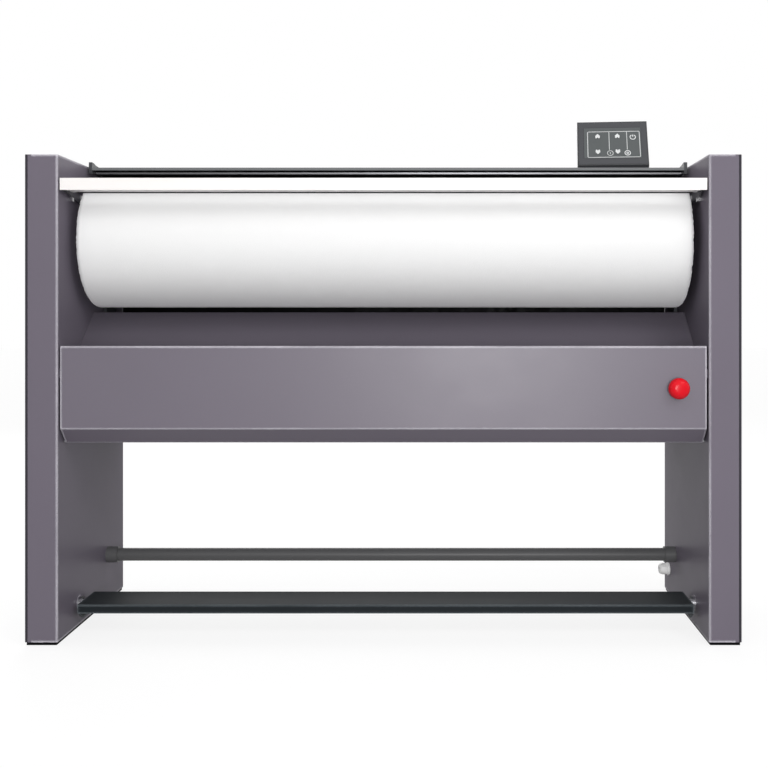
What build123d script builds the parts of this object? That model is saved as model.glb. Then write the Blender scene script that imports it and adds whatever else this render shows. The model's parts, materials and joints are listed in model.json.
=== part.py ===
"""Flatwork ironer: a padded roller turns in a heated chest that a foot pedal swings against it.

Millimetres. +X is the operator's right, +Y points away from the operator, +Z is up.
The origin is on the floor, under the middle of the machine's bounding box.
"""

import math
import os

from build123d import *

os.makedirs("parts", exist_ok=True)

# ---------------------------------------------------------------- driving dimensions
# Side columns, folded from sheet. "Setback" is a distance behind the columns' front faces.
column_depth = 480.0
column_rise = 181.0
sheet = 2.0
fold_radius = 4.0
return_flange = 20.0
cover_rim = 5.5
cover_seam = 0.6
base_height = 7.0
base_inset = 3.0
cut_margin = 1.0

# Ironing roller
roller_length = 1400.0
roller_radius = 155.0
roller_setback = 210.0
roller_height = 900.0
roller_end_gap = 17.0
cloth = 2.0
padding = 10.0
roller_end_chamfer = 12.0
drum_wall = 4.0
end_disc = 8.0
journal_radius = 17.5
journal_hole_radius = 24.0

# Flanged roller bearings in the columns
bearing_square = 110.0
bearing_corner = 16.0
bearing_flange = 14.0
bearing_boss_radius = 41.0
bearing_length = 30.0
hole_clearance = 0.5
running_clearance = 0.05
body_clearance = 0.3

# Ribbed belt drive, right column
belt_width = 10.7
belt_thickness = 4.5
belt_clearance = 0.15
pulley_margin = 1.15
pulley_gap = 2.0
roller_pulley_radius = 85.0
motor_pulley_radius = 42.5
motor_forward = 60.0
motor_stand = 21.4

# Gearmotor behind the front panel
motor_shaft_radius = 12.5
gearbox_square = 124.0
gearbox_corner = 14.0
gearbox_length = 110.0
gearbox_bore_depth = 12.0
motor_radius = 48.0
motor_length = 190.0
motor_fin = 4.0
motor_fin_height = 5.0
motor_fin_count = 12
motor_sides = 12
motor_cowl_length = 45.0
motor_box = 60.0
motor_box_place = 65.0

# Finger guard above the feed gap
guard_setback = 5.0
guard_rise = 103.5
guard_height = 26.5
guard_flange_depth = 46.0
guard_sheet = 2.0
guard_end_gap = 3.0
guard_arm = 4.0
guard_arm_gap = 4.0
guard_pivot_setback = 110.0
guard_pivot_rise = 95.0
guard_pivot_radius = 5.0
guard_pivot_head = 8.0
guard_pivot_head_height = 2.5
guard_arm_eye = 13.0
guard_stop = 8.0
guard_stop_setback = 62.0
guard_switch_box = (24.0, 52.0, 30.0)

# Heated chest, drawn as it stands when it is closed on the roller
chest_gap = 2.0
chest_plate = 8.0
chest_back_angle = -56.0
chest_front_angle = 97.0
chest_lip_edge = 4.0
chest_pivot_back = 120.0
chest_pivot_drop = 188.0
chest_open_angle = 4.77
chest_profile_count = 10
chest_joint = 0.3
heater_width = 32.0
heater_thickness = 6.0
heater_seat = 0.2
heater_end_inset = 12.0
insulation_gap = 2.0
insulation_front_angle = 68.0
insulation_cover_gap = 1.0
chest_cover_top = 176.0
chest_cover_back = 190.0
chest_cover_chamfer = 18.0
chest_cover_bottom = -112.0
chest_cover_nose = (-50.0, 165.0)
chest_cover_nose_flange = 6.5
chest_cover_ridge = 6.0
chest_cover_toe = (104.0, -152.0)
chest_end_plate = 8.0
chest_end_clearance = 4.0
chest_ear_height = 13.0
chest_ear_width = 26.0
pivot_boss = 28.0
pivot_shaft_radius = 12.5
chest_stop = 16.0

# Bushes through the inner walls
pivot_bush_radius = 22.0
pedal_bush_radius = 15.0
pedal_bush_stand = 7.0
bush_length = 24.0

# Linkage in the columns, from the pedal up to the chest
lever_gap = 2.0
lever_thickness = 8.0
lever_hub_radius = 24.0
lever_tip_radius = 13.0
chest_lever_length = 270.0
pedal_lever_length = 80.0
pedal_lever_hub_radius = 18.0
link_pin_radius = 6.0
link_eye_radius = 12.0
link_gap = 1.0
link_thickness = 8.0
link_width = 14.0
link_slack = 0.8
spring_radius = 5.0
spring_inset = 32.0
spring_length = 200.0
spring_seat = 0.1
spring_pin_radius = 4.0
linkage_clearance = 3.5

# Foot pedal
pedal_toe = 49.0
pedal_depth = 119.0
pedal_top = 65.0
pedal_lip = 20.0
pedal_rear_lip = 10.0
pedal_sheet = 3.0
pedal_end_gap = 12.0
pedal_end_plate = 4.0
pedal_end_depth = 37.0
pedal_end_foot = (27.0, 77.0)
pedal_pivot_drop = 8.0
pedal_shaft_radius = 8.0

# Front panel, return slide, beam tray and rear panel
panel_setback = 6.0
panel_end_gap = 4.0
panel_rise = 71.0
panel_face = 183.0
panel_lip = 34.0
panel_return = 18.0
panel_bend_radius = 3.0
slide_back = 31.0
slide_gap = 14.0
slide_angle = 37.6
slide_rise = 143.0
slide_flange = 20.0
slide_rear_drop = 9.0
slide_rear_flange = 32.0
tray_back_gap = 21.0
tray_drop = 16.0
infill_end_gap = 0.6
rear_panel_inset = 4.0
rear_panel_drop = 19.0
rear_panel_height = 607.0
rear_panel_flange = 30.0
rear_panel_foot = 20.0
louvre_length = 150.0
louvre_height = 6.0
louvre_count = (5, 3)
louvre_spacing = (220.0, 30.0)
louvre_drop = 102.0

# Rear tie bar and its collars
tie_setback = 350.0
tie_height = 122.0
tie_radius = 16.0
tie_collar_radius = 20.0
tie_collar_length = 28.0

# Mains cable gland on the right inner wall
gland_setback = 420.0
gland_height = 69.0
gland_flange_radius = 16.5
gland_flange = 6.0
gland_hex = 26.0
gland_length = 27.0
gland_bore = 6.0
gland_neck_radius = 10.0
gland_tail = 10.0

# Mushroom push button on the front panel
stop_inset = 64.0
stop_drop = 22.0
stop_cap_radius = 23.5
stop_cap_depth = 20.0
stop_cap_edge = 7.0
stop_cap_shoulder = 15.0
stop_travel = 5.0
stop_collar_radius = 15.0
stop_collar_sides = 16
stop_collar = 5.0
stop_barrel_radius = 11.0
stop_barrel_length = 22.0
stop_stem = 11.0
stop_nose_radius = 5.0
stop_nose_length = 9.0
stop_nut = 6.0
stop_nut_across_flats = 28.0
stop_block = (32.0, 32.0)
stop_block_depth = 34.0

# Control box on its post
box_width = 176.0
box_face_height = 150.0
box_depth = 24.0
box_wall = 2.5
box_inset = 159.0
box_reach = 162.0
box_drop = 50.0
box_lean = 35.0
box_yaw = 6.0
box_lid = 2.0
overlay_width = 142.0
overlay_height = 104.0
overlay = 1.0
key_width = 14.0
key_proud = 0.8
key_travel = 0.6
key_flange = 1.2
key_flange_step = 1.5
key_stem = 4.5
board_depth = 12.0
board = 1.6
board_inset = 14.0
post_inset = 14.0
post_radius = 11.0
post_flange_square = 30.0
post_flange = 4.0
post_height = 88.0
collar_square = 34.0
collar_corner = 8.0
collar_height = 34.0
arm_thickness = 10.0
arm_height = 22.0
arm_plate = 4.0
arm_plate_size = 70.0
web_front = 26.0

# Switchgear in the left column
gear_setback = 330.0
gear_height = 420.0
gear_plate = (170.0, 320.0)
contactor = (45.0, 60.0, 34.0)
contactor_count = 3
contactor_spacing = 52.0
contactor_rise = 64.0
terminal_strip = (150.0, 24.0, 20.0)
terminal_drop = 100.0

# ---------------------------------------------------------------- derived places
sides = (("left", -1), ("right", 1))

# Across the machine, from the roller out through the bearings, the belt and the linkage to the covers
inner_x = roller_length / 2 + roller_end_gap
pulley_start = inner_x + sheet + bearing_length + pulley_gap
pulley_end = pulley_start + belt_width + 2 * pulley_margin
lever_start = pulley_end + lever_gap
link_start = lever_start + lever_thickness + link_gap
pin_end = link_start + link_thickness + link_gap / 2
outer_x = pin_end + linkage_clearance + sheet
column_width = outer_x - inner_x
shell_x = outer_x - cover_rim - cover_seam
panel_half = inner_x - panel_end_gap
pedal_half_length = inner_x - pedal_end_gap
stop_x = panel_half - stop_inset
box_x = inner_x - box_inset

# Heights, from the roller's axis down to the tray and up to the post
column_top = roller_height + column_rise
column_height = column_top - base_height
guard_bottom = roller_height + guard_rise
guard_pivot_height = roller_height + guard_pivot_rise
chest_pivot_height = roller_height - chest_pivot_drop
slide_top_height = roller_height - roller_radius - slide_gap
slide_floor_height = slide_top_height - slide_rise
panel_top = slide_floor_height + panel_rise
panel_bend = panel_top - panel_face
panel_bottom = panel_bend - panel_lip
tray_floor = panel_bottom + sheet
tray_top = slide_top_height - tray_drop
motor_height = tray_floor + sheet + motor_stand + gearbox_square / 2
stop_height = slide_floor_height - stop_drop
pedal_pivot_height = pedal_top - pedal_pivot_drop
rear_panel_top = column_top - rear_panel_drop
rear_panel_bottom = rear_panel_top - rear_panel_height
louvre_centre_height = rear_panel_top - louvre_drop
post_top = rear_panel_top + post_height
box_bottom_height = post_top - box_drop

# Setbacks
chest_pivot_setback = roller_setback + chest_pivot_back
motor_setback = roller_setback - motor_forward
slide_top_setback = roller_setback + slide_back
tray_back = slide_top_setback + tray_back_gap
pedal_pivot_setback = chest_pivot_setback - chest_lever_length + pedal_lever_length
pedal_front = pedal_pivot_setback - pedal_toe
pedal_rear = pedal_front + pedal_depth
rear_panel_setback = column_depth - rear_panel_inset
post_setback = rear_panel_setback - post_inset
box_bottom_setback = post_setback - box_reach

stop_gap = stop_travel + 1.0
stop_reach = stop_collar + stop_gap + stop_cap_depth - panel_setback
front_y = (stop_reach - column_depth) / 2
cloth_inner_radius = roller_radius - cloth
drum_radius = cloth_inner_radius - padding
drum_half = roller_length / 2 - roller_end_chamfer
roller_y = front_y + roller_setback
motor_y = front_y + motor_setback
roller_axis = Axis((0, roller_y, roller_height), (1, 0, 0))
roller_plane = Plane(origin=(0, roller_y, roller_height), x_dir=(1, 0, 0), z_dir=(0, -1, 0))

chest_radius = roller_radius + chest_gap
chest_pivot_y = front_y + chest_pivot_setback
chest_half = roller_length / 2 + chest_end_clearance
lever_swing = chest_open_angle / 2
tip_rise = chest_lever_length * math.sin(math.radians(lever_swing))
pedal_swing = math.degrees(math.asin(tip_rise / pedal_lever_length))
pedal_pivot_y = front_y + pedal_pivot_setback


def on_wall(setback, height):
    """A point on a YZ plane, from its setback and its height above the floor."""
    return (front_y + setback, height)


def chest_plane(x, from_closed=0.0):
    """A plane square to X through the chest pivot, in the chest's open stance.

    Its own axes are level when the chest is closed; from_closed turns it on towards closed.
    """
    turn = math.radians(chest_open_angle - from_closed)
    return Plane(
        origin=(x, chest_pivot_y, chest_pivot_height),
        x_dir=(0, math.cos(turn), -math.sin(turn)),
        z_dir=(1, 0, 0),
    )


def chest_arc_plane(x):
    """The same plane moved to where the roller's axis lies when the chest is closed."""
    pivot_plane = chest_plane(x)
    closed_axis = (roller_setback - chest_pivot_setback, roller_height - chest_pivot_height, 0)
    centre = pivot_plane.from_local_coords(closed_axis)
    return Plane(origin=centre, x_dir=pivot_plane.x_dir, z_dir=pivot_plane.z_dir)


def polar(radius, angle):
    """A point at a radius and an angle in degrees."""
    return (radius * math.cos(math.radians(angle)), radius * math.sin(math.radians(angle)))


def octagon(apothem, mode=Mode.ADD):
    """An eight-sided outline, by the distance from its centre to its flats."""
    RegularPolygon(apothem, 8, major_radius=False, rotation=22.5, mode=mode)


def folded_sheet(points, thickness, side, bend_radius=0.0):
    """A folded sheet's section: the line through the points, thickened to one side."""
    with BuildLine() as outline:
        if bend_radius:
            FilletPolyline(*points, radius=bend_radius)
        else:
            Polyline(*points)
        offset(amount=thickness, side=side, kind=Kind.INTERSECTION)
    make_face(outline.edges())


def ring_sector(inner, outer, start, end, mode=Mode.ADD):
    """A slice of a ring, between two radii and two angles."""
    with BuildLine() as outline:
        CenterArc((0, 0), inner, start, end - start)
        CenterArc((0, 0), outer, start, end - start)
        Line(polar(inner, start), polar(outer, start))
        Line(polar(inner, end), polar(outer, end))
    make_face(outline.edges(), mode=mode)


# ---------------------------------------------------------------- side columns
for side_name, side in sides:
    with BuildPart() as column:
        with BuildSketch(Plane.YZ.offset(side * inner_x)):
            with Locations(on_wall(column_depth / 2, base_height + column_height / 2)):
                Rectangle(column_depth, column_height)
        extrude(amount=side * (shell_x - inner_x))
        across = column.faces().sort_by(Axis.X, reverse=side < 0)
        fillet(across[0].edges().filter_by(Axis.Z), fold_radius)
        open_face = column.faces().sort_by(Axis.X, reverse=side < 0)[-1]
        offset(amount=-sheet, openings=open_face)
        with BuildSketch(Plane.YZ.offset(side * shell_x)):
            with Locations(on_wall(column_depth / 2, base_height + column_height / 2)):
                Rectangle(column_depth - sheet, column_height - sheet)
                Rectangle(
                    column_depth - 2 * return_flange,
                    column_height - 2 * return_flange,
                    mode=Mode.SUBTRACT,
                )
        extrude(amount=-side * sheet)
        with BuildSketch(Plane.YZ.offset(side * (inner_x - cut_margin))):
            with Locations(on_wall(roller_setback, roller_height)):
                octagon(journal_hole_radius)
            with Locations(on_wall(chest_pivot_setback, chest_pivot_height)):
                octagon(pivot_shaft_radius + hole_clearance)
            with Locations(on_wall(pedal_pivot_setback, pedal_pivot_height)):
                Circle(pedal_bush_radius)
            if side > 0:
                with Locations(on_wall(motor_setback, motor_height)):
                    octagon(motor_shaft_radius + hole_clearance)
                with Locations(on_wall(gland_setback, gland_height)):
                    octagon(gland_neck_radius)
        extrude(amount=side * (sheet + 2 * cut_margin), mode=Mode.SUBTRACT)
    column.part.label = f"{side_name}_column"
    export_step(column.part, f"parts/{side_name}_column.step")

    with BuildPart() as outer_cover:
        with BuildSketch(Plane.YZ.offset(side * (outer_x - cover_rim))):
            with Locations(on_wall(column_depth / 2, base_height + column_height / 2)):
                Rectangle(column_depth, column_height)
        extrude(amount=side * cover_rim)
        across = outer_cover.faces().sort_by(Axis.X, reverse=side < 0)
        chamfer(across[-1].edges(), sheet / 2)
        inner_face = outer_cover.faces().sort_by(Axis.X, reverse=side < 0)[0]
        offset(amount=-sheet, openings=inner_face)
    outer_cover.part.label = f"{side_name}_outer_cover"
    export_step(outer_cover.part, f"parts/{side_name}_outer_cover.step")

with BuildPart() as base_strips:
    for side_name, side in sides:
        with BuildSketch(Plane.XY):
            with Locations((side * (inner_x + column_width / 2), front_y + column_depth / 2)):
                Rectangle(column_width - 2 * base_inset, column_depth - 2 * base_inset)
        extrude(amount=base_height)
base_strips.part.label = "base_strips"
export_step(base_strips.part, "parts/base_strips.step")

# ---------------------------------------------------------------- sheet work between the columns
infill_half = inner_x - infill_end_gap
panel_foot_setback = panel_setback + panel_lip
panel_section = [
    on_wall(panel_foot_setback + panel_return, panel_bottom),
    on_wall(panel_foot_setback, panel_bottom),
    on_wall(panel_setback, panel_bend),
    on_wall(panel_setback, panel_top),
    on_wall(panel_setback + panel_return, panel_top),
]
with BuildPart() as front_panel:
    with BuildSketch(Plane.YZ.offset(-panel_half)):
        folded_sheet(panel_section, sheet, Side.RIGHT, panel_bend_radius)
    extrude(amount=2 * panel_half)
    with BuildSketch(Plane.XZ.offset(-(front_y + panel_setback))):
        with Locations((stop_x, stop_height)):
            octagon(stop_barrel_radius)
    extrude(amount=sheet, both=True, mode=Mode.SUBTRACT)
front_panel.part.label = "front_panel"
export_step(front_panel.part, "parts/front_panel.step")

panel_back = panel_setback + sheet
slide_run = slide_rise / math.tan(math.radians(slide_angle))
slide_rear = tray_back - 2 * sheet
slide_section = [
    on_wall(panel_back, slide_floor_height + slide_flange),
    on_wall(panel_back, slide_floor_height),
    on_wall(slide_top_setback - slide_run, slide_floor_height),
    on_wall(slide_top_setback, slide_top_height),
    on_wall(slide_rear, slide_top_height - slide_rear_drop),
    on_wall(slide_rear, slide_top_height - slide_rear_flange),
]
with BuildPart() as return_slide:
    with BuildSketch(Plane.YZ.offset(-infill_half)):
        folded_sheet(slide_section, sheet, Side.LEFT)
    extrude(amount=2 * infill_half)
return_slide.part.label = "return_slide"
export_step(return_slide.part, "parts/return_slide.step")

tray_section = [
    on_wall(panel_foot_setback + sheet, tray_floor),
    on_wall(tray_back, tray_floor),
    on_wall(tray_back, tray_top),
]
with BuildPart() as beam_tray:
    with BuildSketch(Plane.YZ.offset(-infill_half)):
        folded_sheet(tray_section, sheet, Side.LEFT)
    extrude(amount=2 * infill_half)
beam_tray.part.label = "beam_tray"
export_step(beam_tray.part, "parts/beam_tray.step")

rear_section = [
    on_wall(rear_panel_setback - rear_panel_flange, rear_panel_top),
    on_wall(rear_panel_setback, rear_panel_top),
    on_wall(rear_panel_setback, rear_panel_bottom),
    on_wall(rear_panel_setback - rear_panel_foot, rear_panel_bottom),
]
with BuildPart() as rear_panel:
    with BuildSketch(Plane.YZ.offset(-infill_half)):
        folded_sheet(rear_section, sheet, Side.RIGHT)
    extrude(amount=2 * infill_half)
    with BuildSketch(Plane.XZ.offset(-(front_y + rear_panel_setback))):
        with Locations((0, louvre_centre_height)):
            with GridLocations(*louvre_spacing, *louvre_count):
                Rectangle(louvre_length, louvre_height)
    extrude(amount=2 * sheet, both=True, mode=Mode.SUBTRACT)
rear_panel.part.label = "rear_panel"
export_step(rear_panel.part, "parts/rear_panel.step")

with BuildPart() as rear_tie_bar:
    with BuildSketch(Plane.YZ.offset(-inner_x)):
        with Locations(on_wall(tie_setback, tie_height)):
            Circle(tie_radius)
    extrude(amount=2 * inner_x)
    for side_name, side in sides:
        with BuildSketch(Plane.YZ.offset(side * inner_x)):
            with Locations(on_wall(tie_setback, tie_height)):
                Circle(tie_collar_radius)
        extrude(amount=-side * tie_collar_length)
rear_tie_bar.part.label = "rear_tie_bar"
export_step(rear_tie_bar.part, "parts/rear_tie_bar.step")

gland_plane = Plane.YZ.offset(inner_x)
with BuildPart() as cable_gland:
    with BuildSketch(gland_plane):
        with Locations(on_wall(gland_setback, gland_height)):
            Circle(gland_flange_radius)
    extrude(amount=-gland_flange)
    with BuildSketch(gland_plane.offset(-gland_flange)):
        with Locations(on_wall(gland_setback, gland_height)):
            RegularPolygon(gland_hex / 2, 6, major_radius=False)
    extrude(amount=-(gland_length - gland_flange))
    with BuildSketch(gland_plane):
        with Locations(on_wall(gland_setback, gland_height)):
            octagon(gland_neck_radius)
    extrude(amount=gland_tail)
    with BuildSketch(gland_plane.offset(gland_tail)):
        with Locations(on_wall(gland_setback, gland_height)):
            octagon(gland_bore)
    extrude(amount=-(gland_length + gland_tail), mode=Mode.SUBTRACT)
cable_gland.part.label = "cable_gland"
export_step(cable_gland.part, "parts/cable_gland.step")

# ---------------------------------------------------------------- roller
with BuildPart() as roller_drum:
    with BuildSketch(Plane.YZ.offset(-drum_half)):
        with Locations(on_wall(roller_setback, roller_height)):
            Circle(drum_radius)
            Circle(drum_radius - drum_wall, mode=Mode.SUBTRACT)
    extrude(amount=2 * drum_half)
roller_drum.part.label = "roller_drum"
export_step(roller_drum.part, "parts/roller_drum.step")

# Each end is one turned piece: disc and journal. The right journal also carries the belt pulley.
bearing_end = inner_x + sheet + bearing_length
with BuildPart() as roller_ends:
    for side_name, side in sides:
        journal_stop = pulley_end if side > 0 else bearing_end
        with BuildSketch(roller_plane):
            with BuildLine():
                Polyline(
                    (side * (drum_half - end_disc), 0),
                    (side * (drum_half - end_disc), drum_radius - drum_wall),
                    (side * drum_half, drum_radius - drum_wall),
                    (side * drum_half, journal_radius),
                    (side * journal_stop, journal_radius),
                    (side * journal_stop, 0),
                    close=True,
                )
            make_face()
        revolve(axis=roller_axis)
roller_ends.part.label = "roller_ends"
export_step(roller_ends.part, "parts/roller_ends.step")

with BuildPart() as roller_padding:
    with BuildSketch(Plane.YZ.offset(-drum_half)):
        with Locations(on_wall(roller_setback, roller_height)):
            Circle(cloth_inner_radius)
            Circle(drum_radius, mode=Mode.SUBTRACT)
    extrude(amount=2 * drum_half)
roller_padding.part.label = "roller_padding"
export_step(roller_padding.part, "parts/roller_padding.step")

# The cloth is drawn in over the padding's ends, and its gathered hem stops at the drum.
with BuildPart() as roller_cloth:
    with BuildSketch(roller_plane) as cloth_section:
        Rectangle(roller_length, roller_radius, align=(Align.CENTER, Align.MIN))
        chamfer(cloth_section.vertices().group_by(Axis.Z)[-1], roller_end_chamfer)
    revolve(axis=roller_axis)
    with BuildSketch(Plane.YZ.offset(-drum_half)):
        with Locations(on_wall(roller_setback, roller_height)):
            Circle(cloth_inner_radius)
    extrude(amount=2 * drum_half, mode=Mode.SUBTRACT)
    with BuildSketch(Plane.YZ.offset(-inner_x)):
        with Locations(on_wall(roller_setback, roller_height)):
            Circle(drum_radius)
    extrude(amount=2 * inner_x, mode=Mode.SUBTRACT)
roller_cloth.part.label = "roller_cloth"
export_step(roller_cloth.part, "parts/roller_cloth.step")

with BuildPart() as roller_bearings:
    for side_name, side in sides:
        seat = Plane.YZ.offset(side * (inner_x + sheet))
        with BuildSketch(seat) as flange_outline:
            with Locations(on_wall(roller_setback, roller_height)):
                Rectangle(bearing_square, bearing_square)
            chamfer(flange_outline.vertices(), bearing_corner)
        extrude(amount=side * bearing_flange)
        with BuildSketch(seat):
            with Locations(on_wall(roller_setback, roller_height)):
                octagon(bearing_boss_radius)
        extrude(amount=side * bearing_length)
        with BuildSketch(seat):
            with Locations(on_wall(roller_setback, roller_height)):
                Circle(journal_radius + running_clearance)
        extrude(amount=side * bearing_length, mode=Mode.SUBTRACT)
roller_bearings.part.label = "roller_bearings"
export_step(roller_bearings.part, "parts/roller_bearings.step")

# ---------------------------------------------------------------- belt drive
with BuildPart() as roller_pulley:
    with BuildSketch(Plane.YZ.offset(pulley_start)):
        with Locations(on_wall(roller_setback, roller_height)):
            Circle(roller_pulley_radius)
            Circle(journal_radius, mode=Mode.SUBTRACT)
    extrude(amount=pulley_end - pulley_start)
roller_pulley.part.label = "roller_pulley"
export_step(roller_pulley.part, "parts/roller_pulley.step")

# The motor's pulley is turned in one piece with the gearbox's output shaft.
with BuildPart() as motor_pulley:
    with BuildSketch(Plane.YZ.offset(pulley_start)):
        with Locations(on_wall(motor_setback, motor_height)):
            Circle(motor_pulley_radius)
    extrude(amount=pulley_end - pulley_start)
    with BuildSketch(Plane.YZ.offset(inner_x - gearbox_bore_depth)):
        with Locations(on_wall(motor_setback, motor_height)):
            Circle(motor_shaft_radius)
    extrude(amount=pulley_start - inner_x + gearbox_bore_depth)
motor_pulley.part.label = "motor_pulley"
export_step(motor_pulley.part, "parts/motor_pulley.step")

# The belt is a taut loop round both rims; its fine ribs are left plain.
with BuildPart() as drive_belt:
    for reach, mode in ((belt_clearance + belt_thickness, Mode.ADD), (belt_clearance, Mode.SUBTRACT)):
        with BuildSketch(Plane.YZ.offset(pulley_start + pulley_margin)):
            with Locations(on_wall(roller_setback, roller_height)):
                Circle(roller_pulley_radius + reach)
            with Locations(on_wall(motor_setback, motor_height)):
                Circle(motor_pulley_radius + reach)
            make_hull()
        extrude(amount=belt_width, mode=mode)
drive_belt.part.label = "drive_belt"
export_step(drive_belt.part, "parts/drive_belt.step")

with BuildPart() as gearbox:
    with BuildSketch(Plane.YZ.offset(inner_x)) as gearbox_outline:
        with Locations(on_wall(motor_setback, motor_height)):
            Rectangle(gearbox_square, gearbox_square)
        chamfer(gearbox_outline.vertices(), gearbox_corner)
    extrude(amount=-gearbox_length)
    with BuildSketch(Plane.YZ.offset(inner_x)):
        with Locations(on_wall(motor_setback, motor_height)):
            Circle(motor_shaft_radius + running_clearance)
    extrude(amount=-gearbox_bore_depth, mode=Mode.SUBTRACT)
gearbox.part.label = "gearbox"
export_step(gearbox.part, "parts/gearbox.step")

motor_start = inner_x - gearbox_length
with BuildPart() as drive_motor:
    with BuildSketch(Plane.YZ.offset(motor_start)):
        with Locations(on_wall(motor_setback, motor_height)):
            RegularPolygon(motor_radius, motor_sides)
            with PolarLocations(motor_radius, motor_fin_count):
                Rectangle(2 * motor_fin_height, motor_fin)
    extrude(amount=-(motor_length - motor_cowl_length))
    with BuildSketch(Plane.YZ.offset(motor_start - motor_length + motor_cowl_length)):
        with Locations(on_wall(motor_setback, motor_height)):
            RegularPolygon(motor_radius + motor_fin_height, motor_sides)
    extrude(amount=-motor_cowl_length)
    chamfer(drive_motor.faces().sort_by(Axis.X)[0].edges(), motor_fin_height)
    with BuildSketch(Plane.XY.offset(motor_height)):
        with Locations((motor_start - motor_box_place, motor_y)):
            Rectangle(motor_box, motor_box)
    extrude(amount=motor_radius + motor_box / 2)
drive_motor.part.label = "drive_motor"
export_step(drive_motor.part, "parts/drive_motor.step")

# ---------------------------------------------------------------- finger guard
guard_half = inner_x - guard_end_gap
guard_arm_x = roller_length / 2 + guard_arm_gap
guard_section = [
    on_wall(guard_setback, guard_bottom + guard_height),
    on_wall(guard_setback, guard_bottom),
    on_wall(guard_setback + guard_flange_depth, guard_bottom),
]
with BuildPart() as guard_bar:
    with BuildSketch(Plane.YZ.offset(-roller_length / 2)):
        folded_sheet(guard_section, guard_sheet, Side.LEFT)
    extrude(amount=roller_length)
    with BuildSketch(Plane.YZ.offset(-guard_half)):
        with Locations(on_wall(guard_setback + guard_sheet / 2, guard_bottom + guard_height / 2)):
            Rectangle(guard_sheet, guard_height)
    extrude(amount=2 * guard_half)
guard_bar.part.label = "guard_bar"
export_step(guard_bar.part, "parts/guard_bar.step")

guard_back = guard_setback + guard_sheet
guard_arm_bottom = guard_pivot_height - guard_arm_eye
with BuildPart() as guard_arms:
    for side_name, side in sides:
        with BuildSketch(Plane.YZ.offset(side * guard_arm_x)):
            with BuildLine():
                Polyline(
                    on_wall(guard_back, guard_bottom),
                    on_wall(guard_back, guard_bottom + guard_height - guard_sheet),
                    on_wall(guard_back + guard_flange_depth / 2, guard_bottom + guard_height - guard_sheet),
                    on_wall(guard_pivot_setback, guard_pivot_height + guard_arm_eye),
                    on_wall(guard_pivot_setback + guard_arm_eye, guard_pivot_height),
                    on_wall(guard_pivot_setback, guard_arm_bottom),
                    close=True,
                )
            make_face()
            with Locations(on_wall(guard_pivot_setback, guard_pivot_height)):
                Circle(guard_pivot_radius + running_clearance, mode=Mode.SUBTRACT)
        extrude(amount=side * guard_arm)
guard_arms.part.label = "guard_arms"
export_step(guard_arms.part, "parts/guard_arms.step")

# The arm's lower edge rests on a square stop, turned to lie along that edge.
arm_slope = math.atan2(guard_arm_bottom - guard_bottom, guard_pivot_setback - guard_back)
edge_height = guard_bottom + (guard_stop_setback - guard_back) * math.tan(arm_slope)
edge_drop = (guard_stop / 2 + body_clearance) / math.cos(arm_slope)
with BuildPart() as guard_pins:
    for side_name, side in sides:
        head_x = guard_arm_x - body_clearance
        arm_outer = guard_arm_x + guard_arm
        with BuildSketch(Plane.YZ.offset(side * head_x)):
            with Locations(on_wall(guard_pivot_setback, guard_pivot_height)):
                RegularPolygon(guard_pivot_head, 6)
        extrude(amount=-side * guard_pivot_head_height)
        with BuildSketch(Plane.YZ.offset(side * head_x)):
            with Locations(on_wall(guard_pivot_setback, guard_pivot_height)):
                Circle(guard_pivot_radius)
        extrude(amount=side * (arm_outer + body_clearance - head_x))
        with BuildSketch(Plane.YZ.offset(side * (arm_outer + body_clearance))):
            with Locations(on_wall(guard_pivot_setback, guard_pivot_height)):
                RegularPolygon(guard_pivot_head, 6)
        extrude(amount=side * (inner_x - arm_outer - body_clearance))
        with BuildSketch(Plane.YZ.offset(side * guard_arm_x)):
            with Locations(on_wall(guard_stop_setback, edge_height - edge_drop)):
                Rectangle(guard_stop, guard_stop, rotation=math.degrees(arm_slope))
        extrude(amount=side * (inner_x - guard_arm_x))
guard_pins.part.label = "guard_pins"
export_step(guard_pins.part, "parts/guard_pins.step")

with BuildPart() as guard_switch:
    with BuildSketch(Plane.YZ.offset(inner_x + sheet)):
        with Locations(on_wall(guard_pivot_setback, guard_pivot_height)):
            Rectangle(guard_switch_box[1], guard_switch_box[2])
    extrude(amount=guard_switch_box[0])
guard_switch.part.label = "guard_switch"
export_step(guard_switch.part, "parts/guard_switch.step")

# ---------------------------------------------------------------- heated chest
# The chest is a row of curved profiles, side by side between the end plates, with joints for their growth.
chest_outer = chest_radius + chest_plate
joint_angle = math.degrees(chest_joint / chest_radius)
profile_step = (chest_front_angle - chest_back_angle + joint_angle) / chest_profile_count
profile_angle = profile_step - joint_angle
with BuildPart() as heated_chest:
    with BuildSketch(chest_arc_plane(-chest_half)):
        for profile in range(chest_profile_count):
            profile_start = chest_back_angle + profile * profile_step
            ring_sector(chest_radius, chest_outer, profile_start, profile_start + profile_angle)
    extrude(amount=2 * chest_half)
    front_edges = heated_chest.edges().filter_by(Axis.X).sort_by(Axis.Y)[0:2]
    chamfer(front_edges.sort_by(Axis.Z)[-1], chest_plate - chest_lip_edge)
heated_chest.part.label = "heated_chest"
export_step(heated_chest.part, "parts/heated_chest.step")

# Every profile but the front one carries a strip heater.
heater_path = chest_outer + heater_thickness / 2 + heater_seat
heater_count = chest_profile_count - 1
heater_first_angle = chest_back_angle + profile_angle / 2
heater_half = chest_half - heater_end_inset
with BuildPart() as strip_heaters:
    with BuildSketch(chest_arc_plane(-heater_half)):
        with PolarLocations(heater_path, heater_count, heater_first_angle, profile_step * heater_count):
            Rectangle(heater_thickness, heater_width)
    extrude(amount=2 * heater_half)
strip_heaters.part.label = "strip_heaters"
export_step(strip_heaters.part, "parts/strip_heaters.step")

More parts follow.
